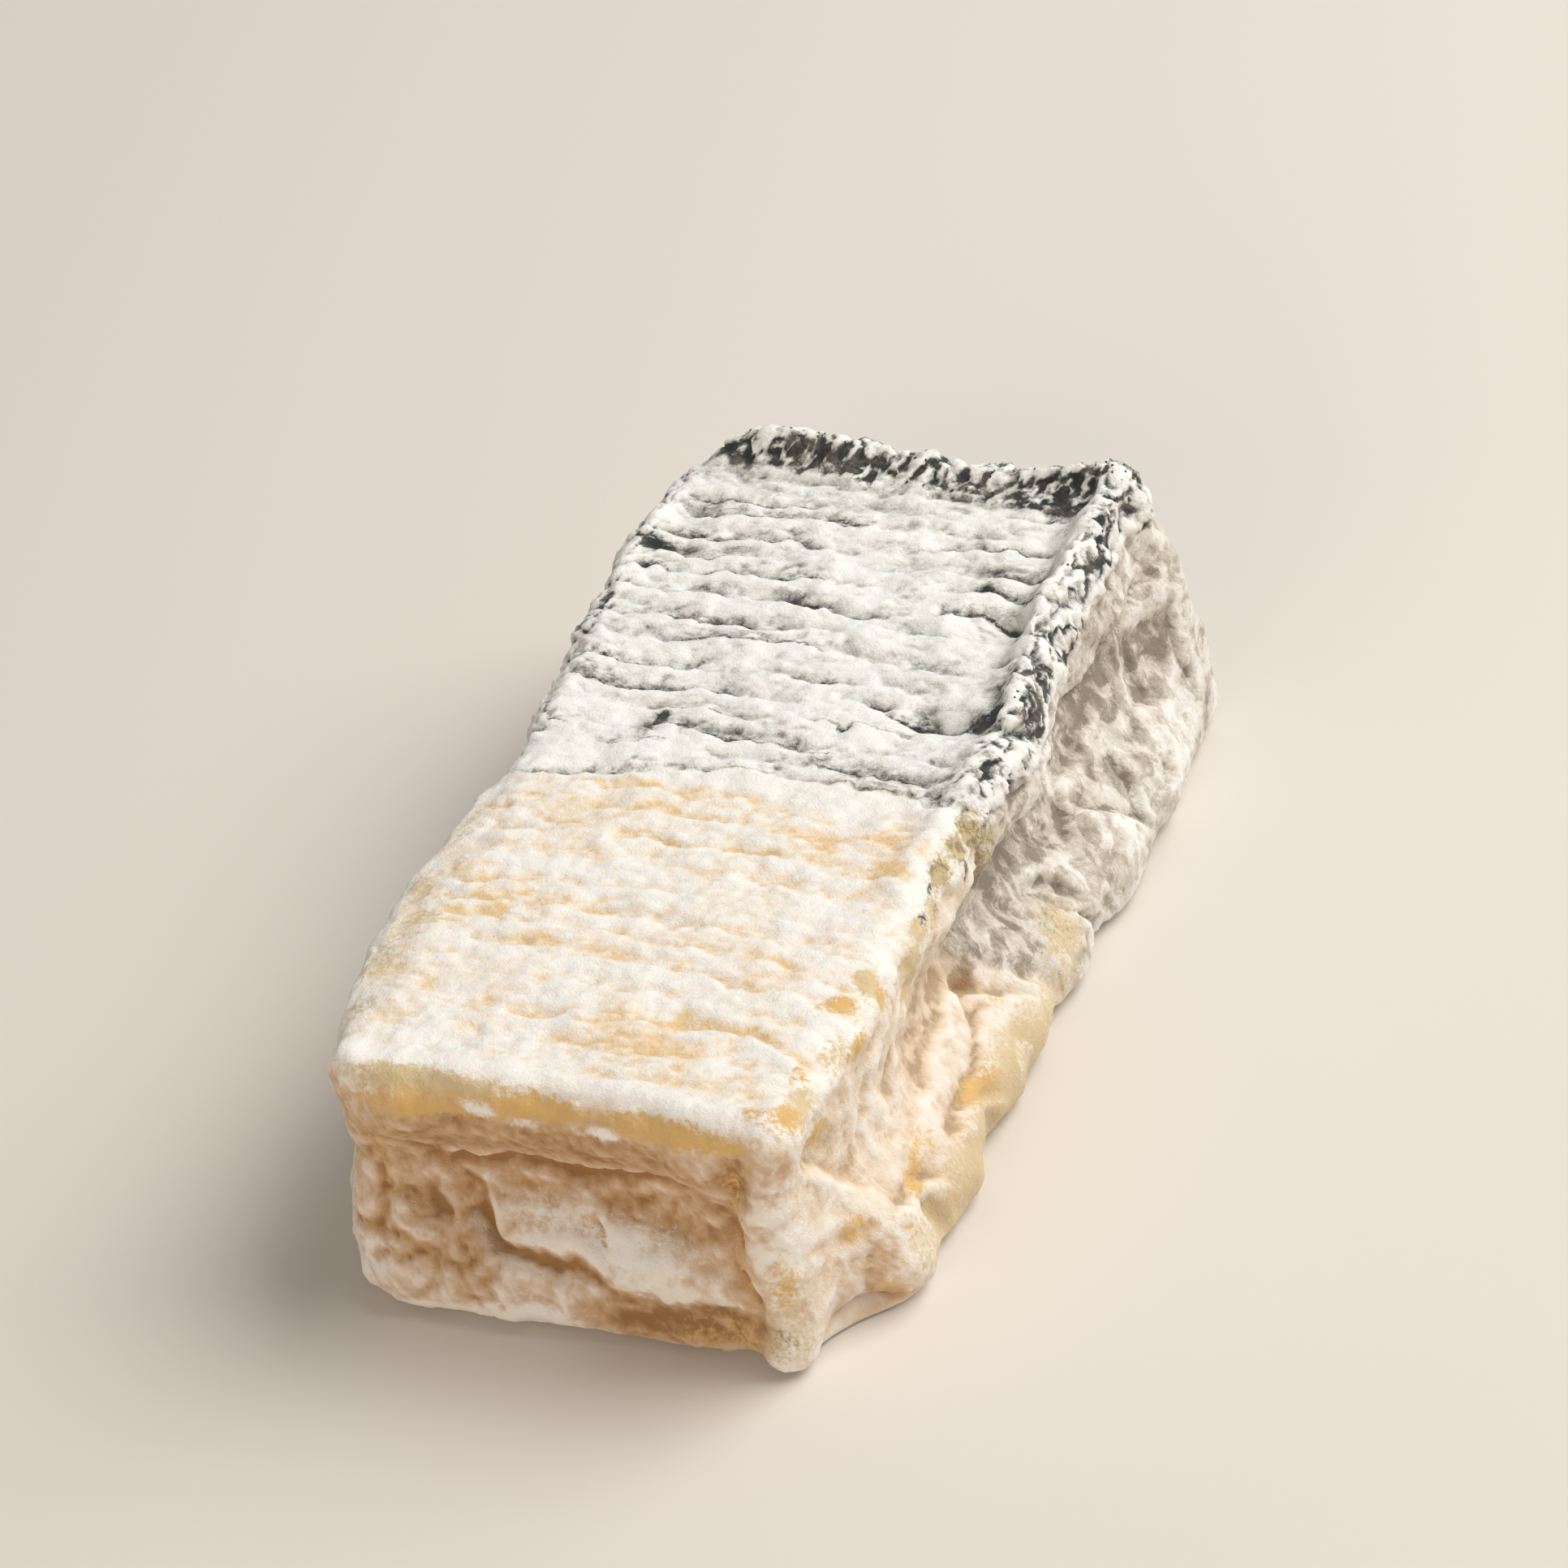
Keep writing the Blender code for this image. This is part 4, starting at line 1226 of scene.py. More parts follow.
    def relief(self, points: Array, out: Array) -> Array:
        """How far the rind is raised along its outward direction.

        Args:
            points: The drawn points.
            out: The outward direction at each.

        Returns:
            Heights in millimetres.
        """
        on = self.regions(points, out)
        bent = self.bent(points)
        height = self.mat_relief(points) * on.field + self.wall_relief(points, on)
        height += sum(s.at(points) for s in SWELLINGS + KNOBS) - sum(c.at(bent) for c in CREASES + PINCHES)
        height += sum(ledge.at(bent, out) for ledge in LEDGES)
        height += (self.crumble(points) + self.scales.at(points)) * on.rim * on.ash_side
        grain = fractal_noise(points / self.grain_size, 61, 2)
        height += (self.grain_height + 0.08 * on.calm) * grain * (1 - on.waxy)
        return height * (1 - smooth_step(0.6, 0.95, -out[:, 2]))

    def build(self) -> bpy.types.Object:
        """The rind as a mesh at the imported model's own place, with its tints.

        Returns:
            The object, which still needs its material.
        """
        brick = self.grid_box("rind")
        unit, _ = skin_of(brick.data)
        set_points(brick.data, self.drawn(self.rounded(unit)))
        points, out = skin_of(brick.data)
        points = points + out * self.relief(points, out)[:, None]
        points[:, 2] = np.maximum(points[:, 2], 0)
        set_points(brick.data, points)
        join_flat_base(brick.data)
        self.write_marks(brick.data)
        points, _ = skin_of(brick.data)
        set_points(brick.data, (points - FRAME_SHIFT) * MM)
        brick.data.shade_smooth()
        return brick

    def hollowness(self, mesh: bpy.types.Mesh, rounds: int) -> Array:
        """How far each point lies under the surface around it.

        Args:
            mesh: The mesh, in millimetres.
            rounds: How many times the surface is smoothed, which sets how wide a hollow counts.

        Returns:
            Depths in millimetres, below zero on a crest.
        """
        points, out = skin_of(mesh)
        ends = np.empty(len(mesh.edges) * 2, np.int32)
        mesh.edges.foreach_get("vertices", ends)
        a, b = ends.reshape(-1, 2).T
        count = np.bincount(a, minlength=len(points)) + np.bincount(b, minlength=len(points))
        smooth = points.copy()
        for _ in range(rounds):
            total = np.empty(points.shape)
            for k in range(3):
                total[:, k] = np.bincount(a, smooth[b, k], len(points))
                total[:, k] += np.bincount(b, smooth[a, k], len(points))
            smooth = 0.4 * smooth + 0.6 * total / np.maximum(count, 1)[:, None]
        return ((smooth - points) * out).sum(axis=1)

    def ash_share(self, points: Array, on_top: Array, wiggle: Array) -> Array:
        """How far each point is on the ash half, with a boundary that grows soft and ragged down the walls.

        Args:
            points: The points of the rind.
            on_top: 1 on the top and 0 on the walls.
            wiggle: How far the crevices wander.

        Returns:
            A share from 0 to 1 for each point.
        """
        x, y, z = points.T
        down_wall = np.clip((40 - z) / 36, 0, 1) * (1 - on_top)
        ragged = gradient_noise(points / 3, 71) * 1.2 + 2.2 * down_wall * gradient_noise(points / 7, 72)
        beyond = y + wiggle * on_top + ragged * (1 - on_top) - self.boundary.at(x)
        beyond += 9 * bell(z, 22, 9) - 8 * bell(z, 0, 9)
        return np.clip(0.5 + beyond / (0.7 + 11 * down_wall), 0, 1)

    def rim_soot(self, points: Array, out: Array, on_top: Array, rim: Array, crest: Array) -> Array:
        """How much bare ash shows on the rims of the ash half.

        Args:
            points: The points of the rind.
            out: The outward direction at each.
            on_top: 1 on the top and 0 on the walls.
            rim: 1 on the rims.
            crest: 1 on the crests of the rims' lobes.

        Returns:
            A strength for each point.
        """
        x, y, z = points.T
        soot = 0.34 * rim + 0.2 * rim * crest + 0.35 * smooth_step(65, 69, y) * rim
        soot += 1.6 * self.veins(points) * rim * Blotches(0.75, 1.2, 7, 85, 1.2).at(points)
        far_line = bell(y, 75.8, 1.3) * smooth_step(42, 44.5, z)
        soot += 1.3 * far_line * Blotches(0.75, 1.1, 5, 86, 1.2).at(points)
        rope = bell(x, 36.5, 2.0) * smooth_step(38, 42, z) * Blotches(0.5, 1.3, 5, 84).at(points)
        inner = smooth_step(0.1, 0.5, -out[:, 0]) * smooth_step(28, 31, x) * on_top
        return soot + 0.8 * rope + 0.4 * inner

    def nearest_crevice(self, points: Array, wiggle: Array) -> tuple[Array, Array]:
        """How far each point lies beyond its nearest crevice, and how strongly that crevice shows there.

        Args:
            points: The points of the rind.
            wiggle: How far the crevices wander.

        Returns:
            The distance in millimetres, below zero on the near side, and the strength.
        """
        nearest, shown = np.full(len(points), 9.0), np.zeros(len(points))
        for line in ASH_CREVICES + PLAIN_CREVICES:
            away = line.beyond(points, wiggle)
            closer = np.abs(away) < np.abs(nearest)
            nearest = np.where(closer, away, nearest)
            shown = np.where(closer, line.shown(points[:, 0]), shown)
        return nearest, shown

    def marks(self, mesh: bpy.types.Mesh) -> dict[Mark, Array]:
        """The tints of the rind.

        Args:
            mesh: Its mesh, in millimetres.

        Returns:
            Each tint's strength at each point.
        """
        points, out = skin_of(mesh)
        x, y, z = points.T
        flat = points * (1, 1, 0)
        wiggle = self.wiggle(points)
        on_top = smooth_step(0.35, 0.8, out[:, 2]) * smooth_step(36, 40, z)
        ash = self.ash_share(points, on_top, wiggle)
        crest = smooth_step(-0.15, 0.5, -self.hollowness(mesh, 25)) * smooth_step(38, 44, z)
        outer = np.clip(smooth_step(32.5, 36, np.abs(x)) + smooth_step(66, 69, y), 0, 1)
        rim = outer * smooth_step(34, 40, z)
        # Slopes of the top that face the near end, away from the key light, are tinted as painted shade: soot
        # on the ash half and orange on the plain half.
        lee_shade = smooth_step(0.02, 0.32, -out[:, 1]) * on_top * Blotches(0.6, 1.2, (9, 4, 9), 83).at(flat)
        nearest, shown = self.nearest_crevice(points, wiggle)
        values = {mark: np.zeros(len(points)) for mark in Mark}
        for patch in PATCHES:
            values[patch.mark] += patch.at(points)
        values[Mark.SOOT] += self.rim_soot(points, out, on_top, rim, crest) * ash
        # The crevices' streaks and the near-facing slopes carry painted shade as well as ash.
        streaks = 0.62 * sum(c.tint(points, wiggle) for c in ASH_CREVICES) + 0.4 * lee_shade
        values[Mark.SOOT] += streaks * on_top * (1 - rim)
        values[Mark.SOOT] *= np.clip(0.8 + 0.5 * gradient_noise(flat / 5, 81), 0.2, 1.4)
        values[Mark.ORANGE] += 0.6 * sum(c.tint(points, wiggle) for c in PLAIN_CREVICES) * on_top + 0.2 * lee_shade
        values[Mark.ASH] = ash
        values[Mark.WALL] = 1 - np.maximum(on_top, smooth_step(37, 41, z))
        # The near end below its lip takes darker, warmer tones: partly its tan rind, partly painted shade and
        # painted warm bounce light.
        values[Mark.FRONT] = smooth_step(0.35, 0.75, -out[:, 1]) * (1 - smooth_step(39, 43, z))
        values[Mark.LINE] = shown * on_top * (1 - rim)
        values[Mark.EDGE] = 0.5 + np.clip(nearest, -2, 2) / 4
        # How deep each point lies in a hollow, which darkens its colour partly as bare rind and partly as
        # painted shade.
        values[Mark.HOLLOW] = 0.5 + self.hollowness(mesh, 6) / 0.5
        values[Mark.FOLD] = 0.5 + self.hollowness(mesh, 60) / 2.4
        clumps = smooth_step(0.0, 0.5, gradient_noise(points / 3.5, 82) + 0.15)
        loose = smooth_step(0.55, 1.0, values[Mark.SOOT]) * (0.05 + 0.6 * rim * crest)
        values[Mark.CRUMB] = ash * loose * clumps
        return {mark: np.clip(value, 0, 1.5) for mark, value in values.items()}

    def write_marks(self, mesh: bpy.types.Mesh) -> None:
        """Stores the tints on the mesh, one attribute each.

        Args:
            mesh: The mesh.
        """
        for mark, value in self.marks(mesh).items():
            attribute = mesh.attributes.new(mark.value, "FLOAT", "POINT")
            attribute.data.foreach_set("value", value.astype(np.float32))


def skin_of(mesh: bpy.types.Mesh) -> tuple[Array, Array]:
    """The points and the outward directions of a mesh.

    Args:
        mesh: The mesh.

    Returns:
        The points in millimetres and the directions.
    """
    count = len(mesh.vertices)
    points, out = np.empty(count * 3), np.empty(count * 3)
    mesh.vertices.foreach_get("co", points)
    mesh.vertex_normals.foreach_get("vector", out)
    return points.reshape(-1, 3), out.reshape(-1, 3)


def set_points(mesh: bpy.types.Mesh, points: Array) -> None:
    """Moves the points of a mesh."""
    mesh.vertices.foreach_set("co", points.ravel())
    mesh.update()


def join_flat_base(mesh_data: bpy.types.Mesh) -> None:
    """Joins the level faces of the underside into one.

    Args:
        mesh_data: The mesh.
    """
    mesh = bmesh.new()
    mesh.from_mesh(mesh_data)
    flat = [f for f in mesh.faces if max(v.co.z for v in f.verts) < 1e-4]
    bmesh.ops.dissolve_faces(mesh, faces=flat, use_verts=True)
    mesh.to_mesh(mesh_data)
    mesh.free()


@dataclass
class AshCrumbs:
    """The crumbs and knobs of bare ash that stand on the crests of the ash half's rims."""

    per_square_metre: float = 400_000.0
    smallest: float = 0.25
    largest: float = 0.6
    seed: int = 7

    def crumb(self) -> bpy.types.Object:
        """One lump, a millimetre across, which the crumbs repeat.

        Returns:
            The lump.
        """
        bpy.ops.mesh.primitive_ico_sphere_add(subdivisions=1, radius=0.5 * MM)
        lump = bpy.context.active_object
        lump.name = "crumb_shape"
        points, _ = skin_of(lump.data)
        bumps = 1 + 0.35 * gradient_noise(points / MM * 2.3 + 5.3, 91)
        set_points(lump.data, points * bumps[:, None] * (1.25, 0.95, 0.8))
        lump.data.shade_smooth()
        return lump

    def tree(self, crumb: bpy.types.Object, material: bpy.types.Material) -> bpy.types.NodeTree:
        """The node tree that scatters the crumbs over a rind where its crumb tint is strong.

        Args:
            crumb: The lump to repeat.
            material: The material of the crumbs.

        Returns:
            The tree. Its inputs are the mesh, the density, the least size, the most size and the seed.
        """
        tree = bpy.data.node_groups.new("AshCrumbs", "GeometryNodeTree")
        for label, kind in (
            ("Rind", "NodeSocketGeometry"), ("Density", "NodeSocketFloat"), ("Smallest", "NodeSocketFloat"),
            ("Largest", "NodeSocketFloat"), ("Seed", "NodeSocketInt"),
        ):
            tree.interface.new_socket(label, in_out="INPUT", socket_type=kind)
        tree.interface.new_socket("Crumbs", in_out="OUTPUT", socket_type="NodeSocketGeometry")
        graph = Graph(tree)
        into, out = graph.node("NodeGroupInput"), graph.node("NodeGroupOutput")
        tint = graph.node("GeometryNodeInputNamedAttribute", data_type="FLOAT")
        tint.inputs["Name"].default_value = Mark.CRUMB.value
        scatter = graph.node("GeometryNodeDistributePointsOnFaces", distribute_method="RANDOM")
        graph.put(scatter.inputs["Mesh"], into.outputs["Rind"])
        density = graph.times(tint.outputs["Attribute"], into.outputs["Density"])
        graph.put(scatter.inputs["Density"], density)
        graph.put(scatter.inputs["Seed"], into.outputs["Seed"])
        size = graph.node("FunctionNodeRandomValue", data_type="FLOAT")
        graph.put(size.inputs[2], into.outputs["Smallest"])
        graph.put(size.inputs[3], into.outputs["Largest"])
        graph.put(size.inputs["Seed"], into.outputs["Seed"])
        turn = graph.node("FunctionNodeRandomValue", data_type="FLOAT_VECTOR")
        turn.inputs[1].default_value = (6.28, 6.28, 6.28)
        graph.put(turn.inputs["Seed"], into.outputs["Seed"])
        lump = graph.node("GeometryNodeObjectInfo")
        lump.inputs["Object"].default_value = crumb
        repeat = graph.node("GeometryNodeInstanceOnPoints")
        graph.put(repeat.inputs["Points"], scatter.outputs["Points"])
        graph.put(repeat.inputs["Instance"], lump.outputs["Geometry"])
        graph.put(repeat.inputs["Rotation"], turn.outputs[0])
        graph.put(repeat.inputs["Scale"], size.outputs[1])
        whole = graph.node("GeometryNodeRealizeInstances")
        graph.put(whole.inputs["Geometry"], repeat.outputs["Instances"])
        finish = graph.node("GeometryNodeSetMaterial")
        finish.inputs["Material"].default_value = material
        graph.put(finish.inputs["Geometry"], whole.outputs["Geometry"])
        graph.put(out.inputs["Crumbs"], finish.outputs["Geometry"])
        return tree

    def build(self, rind: bpy.types.Object, material: bpy.types.Material) -> bpy.types.Object:
        """Scatters the crumbs over the rind, as one plain mesh.

        Args:
            rind: The rind, with its crumb tint.
            material: The material of the crumbs.

        Returns:
            The crumbs.
        """
        carrier = bpy.data.objects.new("ash_crumbs_carrier", rind.data)
        bpy.context.scene.collection.objects.link(carrier)
        lump = self.crumb()
        tree = self.tree(lump, material)
        modifier = carrier.modifiers.new("crumbs", "NODES")
        modifier.node_group = tree
        sockets = [item for item in tree.interface.items_tree if item.in_out == "INPUT"]
        for item, value in zip(sockets[1:], (self.per_square_metre, self.smallest, self.largest, self.seed)):
            modifier[item.identifier] = value
        bpy.context.view_layer.update()
        mesh = bpy.data.meshes.new_from_object(carrier.evaluated_get(bpy.context.evaluated_depsgraph_get()))
        mesh.name = "ash_crumbs"
        crumbs = bpy.data.objects.new("ash_crumbs", mesh)
        bpy.context.scene.collection.objects.link(crumbs)
        bpy.data.objects.remove(carrier)
        bpy.data.objects.remove(lump)
        return crumbs


# ---------------------------------------------------------------- finishes


@dataclass
class Graph:
    """A node tree that is written node by node."""

    tree: bpy.types.NodeTree

    def node(self, kind: str, **settings: object) -> bpy.types.Node:
        """A new node of a kind, with its settings.

        Args:
            kind: Its kind.
            settings: Its settings by name.

        Returns:
            The node.
        """
        made = self.tree.nodes.new(kind)
        for name, value in settings.items():
            setattr(made, name, value)
        return made

    def put(self, socket: bpy.types.NodeSocket, value: object) -> None:
        """Links a socket to another one, or sets its value.

        Args:
            socket: The socket.
            value: Another socket, a number or a colour.
        """
        if isinstance(value, bpy.types.NodeSocket):
            self.tree.links.new(value, socket)
        elif isinstance(value, tuple) and len(value) == 3 and socket.type == "RGBA":
            socket.default_value = (*value, 1.0)
        else:
            socket.default_value = value

    def maths(self, kind: str, a: object, b: object = 0.0) -> bpy.types.NodeSocket:
        """The result of a Math node.

        Args:
            kind: What it does.
            a: Its first value.
            b: Its second value.

        Returns:
            The result.
        """
        made = self.node("ShaderNodeMath", operation=kind)
        self.put(made.inputs[0], a)
        self.put(made.inputs[1], b)
        return made.outputs[0]

    def times(self, a: object, b: object) -> bpy.types.NodeSocket:
        """One value times another."""
        return self.maths("MULTIPLY", a, b)

    def less(self, a: object, b: object) -> bpy.types.NodeSocket:
        """One value less another."""
        return self.maths("SUBTRACT", a, b)

    def near_zero(self, value: object, reach: float) -> bpy.types.NodeSocket:
        """1 where a value is zero, falling to 0 a reach away from it."""
        return self.less(1.0, self.step(self.maths("ABSOLUTE", value), 0.0, reach))

    def total(self, *parts: object) -> bpy.types.NodeSocket:
        """The sum of the parts.

        Args:
            parts: Sockets and numbers.

        Returns:
            Their sum.
        """
        result = parts[0]
        for part in parts[1:]:
            result = self.maths("ADD", result, part)
        return result

    def step(self, value: object, low: object, high: object) -> bpy.types.NodeSocket:
        """0 below low, 1 above high, and a smooth rise between.

        Args:
            value: The value.
            low: Where the rise begins.
            high: Where it ends.

        Returns:
            The result.
        """
        made = self.node("ShaderNodeMapRange", interpolation_type="SMOOTHSTEP")
        self.put(made.inputs["Value"], value)
        self.put(made.inputs["From Min"], low)
        self.put(made.inputs["From Max"], high)
        return made.outputs["Result"]

    def mix(self, share: object, a: object, b: object) -> bpy.types.NodeSocket:
        """Colour a, turned into colour b by a share.

        Args:
            share: How much of colour b there is.
            a: The first colour.
            b: The second colour.

        Returns:
            The mixed colour.
        """
        made = self.node("ShaderNodeMix", data_type="RGBA")
        self.put(made.inputs[0], share)
        self.put(made.inputs[6], a)
        self.put(made.inputs[7], b)
        return made.outputs[2]

    def ramp(self, value: object, tones: "Tones") -> bpy.types.NodeSocket:
        """The colour that a range of tones has at a value.

        Args:
            value: The value.
            tones: The range, as places and colours.

        Returns:
            The colour.
        """
        made = self.node("ShaderNodeValToRGB")
        stops = made.color_ramp.elements
        while len(stops) < len(tones):
            stops.new(1.0)
        for stop, (position, _) in zip(stops, tones):
            stop.position = position
        for stop, (_, colour) in zip(stops, tones):
            stop.color = (*colour, 1.0)
        self.put(made.inputs[0], value)
        return made.outputs[0]

    def attribute(self, mark: Mark) -> bpy.types.NodeSocket:
        """A tint of the piece."""
        return self.node("ShaderNodeAttribute", attribute_name=mark.value).outputs["Fac"]

    def place(self, stretch: Place = (1.0, 1.0, 1.0)) -> bpy.types.NodeSocket:
        """The object's own coordinates, in millimetres, stretched.

        Args:
            stretch: How far each is stretched.

        Returns:
            The coordinates.
        """
        made = self.node("ShaderNodeMapping")
        self.put(made.inputs["Vector"], self.node("ShaderNodeTexCoord").outputs["Object"])
        made.inputs["Scale"].default_value = tuple(1000 * s for s in stretch)
        return made.outputs[0]

    def noise(
        self, place: object, size: float, detail: float = 3.0, rough: float = 0.5, warp: float = 0.0
    ) -> bpy.types.NodeSocket:
        """Noise from 0 to 1.

        Args:
            place: Where it is read.
            size: The size of its hills in millimetres.
            detail: How many rounds of finer hills it has.
            rough: How high the finer hills are.
            warp: How far it is bent.

        Returns:
            The noise.
        """
        made = self.node("ShaderNodeTexNoise")
        self.put(made.inputs["Vector"], place)
        made.inputs["Scale"].default_value = 1.0 / size
        made.inputs["Detail"].default_value = detail
        made.inputs["Roughness"].default_value = rough
        made.inputs["Distortion"].default_value = warp
        return made.outputs[0]

    def group(self, tree: bpy.types.NodeTree, **inputs: object) -> bpy.types.Node:
        """A node group with its inputs.

        Args:
            tree: The group.
            inputs: The value of each input by name.

        Returns:
            The node.
        """
        made = self.node("ShaderNodeGroup", node_tree=tree)
        for name, value in inputs.items():
            self.put(made.inputs[name.replace("_", " ")], value)
        return made


def new_group(
    name: str, inputs: dict[str, str], outputs: dict[str, str]
) -> tuple[Graph, bpy.types.Node, bpy.types.Node]:
    """An empty shader node group.

    Args:
        name: Its name.
        inputs: The socket type of each input.
        outputs: The socket type of each output.

    Returns:
        Its graph, its input node and its output node.
    """
    tree = bpy.data.node_groups.new(name, "ShaderNodeTree")
    for label, kind in inputs.items():
        tree.interface.new_socket(label, in_out="INPUT", socket_type=kind)
    for label, kind in outputs.items():
        tree.interface.new_socket(label, in_out="OUTPUT", socket_type=kind)
    graph = Graph(tree)
    return graph, graph.node("NodeGroupInput"), graph.node("NodeGroupOutput")


def veil_group() -> bpy.types.NodeTree:
    """Spreads a tint in wispy patches, thin where its amount is low and nearly whole where it is high.

    Returns:
        The group, with inputs Vector, Amount, Size, Patches and Fray and output Mask.
    """
    number = "NodeSocketFloat"
    graph, into, out = new_group(
        "Veil",
        {"Vector": "NodeSocketVector", "Amount": number, "Size": number, "Patches": number, "Fray": number},
        {"Mask": number},
    )
    place = graph.node("ShaderNodeVectorMath", operation="DIVIDE")
    graph.put(place.inputs[0], into.outputs["Vector"])
    graph.put(place.inputs[1], into.outputs["Size"])
    large = graph.less(graph.noise(place.outputs[0], 1.0, 3.0, 0.55, 0.4), 0.5)
    fine = graph.less(graph.noise(place.outputs[0], 0.3, 3.0, 0.6, 0.3), 0.5)
    patches_of = graph.times(large, into.outputs["Patches"])
    frayed = graph.times(fine, into.outputs["Fray"])
    level = graph.total(into.outputs["Amount"], patches_of, frayed)
    some = graph.step(into.outputs["Amount"], 0.0, 0.2)
    graph.put(out.inputs["Mask"], graph.times(graph.step(level, 0.2, 0.95), some))
    return graph.tree


def fluff_group() -> bpy.types.NodeTree:
    """The fine fluff and grain of a dry rind, as a height.

    Returns:
        The group, with inputs Vector, Hair and Grain and output Height.
    """
    number = "NodeSocketFloat"
    graph, into, out = new_group(
        "Fluff", {"Vector": "NodeSocketVector", "Hair": number, "Grain": number}, {"Height": number}
    )
    hair = graph.times(graph.noise(into.outputs["Vector"], 0.9, 3.0, 0.6, 0.8), into.outputs["Hair"])
    grain = graph.times(graph.noise(into.outputs["Vector"], 0.35, 2.0, 0.6), into.outputs["Grain"])
    graph.put(out.inputs["Height"], graph.total(hair, grain))
    return graph.tree


@dataclass(frozen=True)
class Finish:
    """A dry, slightly see-through rind."""

    name: str
    roughness: float = 0.82
    sheen: float = 0.08
    subsurface: float = 0.22
    bump: float = 0.5

    def begin(self) -> tuple[bpy.types.Material, Graph, bpy.types.Node]:
        """A new material with its shader's constant values set.

        Returns:
            The material, its graph and its shader.
        """
        material = bpy.data.materials.new(self.name)
        material.use_nodes = True
        shader = material.node_tree.nodes["Principled BSDF"]
        shader.inputs["Roughness"].default_value = self.roughness
        shader.inputs["Sheen Weight"].default_value = self.sheen
        shader.inputs["Sheen Roughness"].default_value = 0.6
        shader.inputs["Specular IOR Level"].default_value = 0.35
        shader.inputs["Subsurface Weight"].default_value = self.subsurface
        shader.inputs["Subsurface Radius"].default_value = (1.0, 0.6, 0.35)
        shader.inputs["Subsurface Scale"].default_value = 0.0018
        return material, Graph(material.node_tree), shader

    def roughen(self, graph: Graph, shader: bpy.types.Node, height: bpy.types.NodeSocket) -> None:
        """Turns a height in millimetres into the shader's normal.

        Args:
            graph: The material's graph.
            shader: Its shader.
            height: The height.
        """
        bump = graph.node("ShaderNodeBump")
        bump.inputs["Strength"].default_value = self.bump
        bump.inputs["Distance"].default_value = MM
        graph.put(bump.inputs["Height"], height)
        graph.put(shader.inputs["Normal"], bump.outputs[0])


Tones = tuple[tuple[float, Colour], ...]


@dataclass(frozen=True)
class Mottle:
    """Unevenness about zero, with hills of a size in millimetres and a reach up and down."""

    size: float
    detail: float
    rough: float
    warp: float
    reach: float

    def at(self, graph: Graph, place: bpy.types.NodeSocket) -> bpy.types.NodeSocket:
        """The unevenness as a value in a graph."""
        noise = graph.noise(place, self.size, self.detail, self.rough, self.warp)
        return graph.times(graph.less(noise, 0.5), self.reach)


@dataclass(frozen=True)
class Spread:
    """How a tint spreads in wisps: its share, and the size, strength and fray of its patches."""

    mark: Mark
    share: float
    size: float
    strength: float = 1.2
    fray: float = 1.2


@dataclass(frozen=True)
class Ground:
    """What the colours of the rind are worked out from, as values in its graph."""

    graph: Graph
    place: bpy.types.NodeSocket
    veil: bpy.types.NodeTree
    mark: dict[Mark, bpy.types.NodeSocket]
    # The hollows darken the colours partly as bare rind and partly as painted shade.
    hollow: bpy.types.NodeSocket
    fold: bpy.types.NodeSocket
    bare_and_shaded_hollows: bpy.types.NodeSocket
    drift: bpy.types.NodeSocket
    wisps: bpy.types.NodeSocket
    grain: bpy.types.NodeSocket
    mottle: bpy.types.NodeSocket
    curl: bpy.types.NodeSocket
    line: bpy.types.NodeSocket

    def cover(self, spread: Spread, under: object, tone: object) -> bpy.types.NodeSocket:
        """A colour with a tint spread over it.

        Args:
            spread: How the tint spreads.
            under: The colour under it.
            tone: Its own colour.

        Returns:
            The colour of both.
        """
        graph = self.graph
        amount = graph.times(self.mark[spread.mark], spread.share)
        made = graph.group(self.veil, Vector=self.place, Amount=amount, Size=spread.size)
        graph.put(made.inputs["Patches"], spread.strength)
        graph.put(made.inputs["Fray"], spread.fray)
        return graph.mix(made.outputs["Mask"], under, tone)


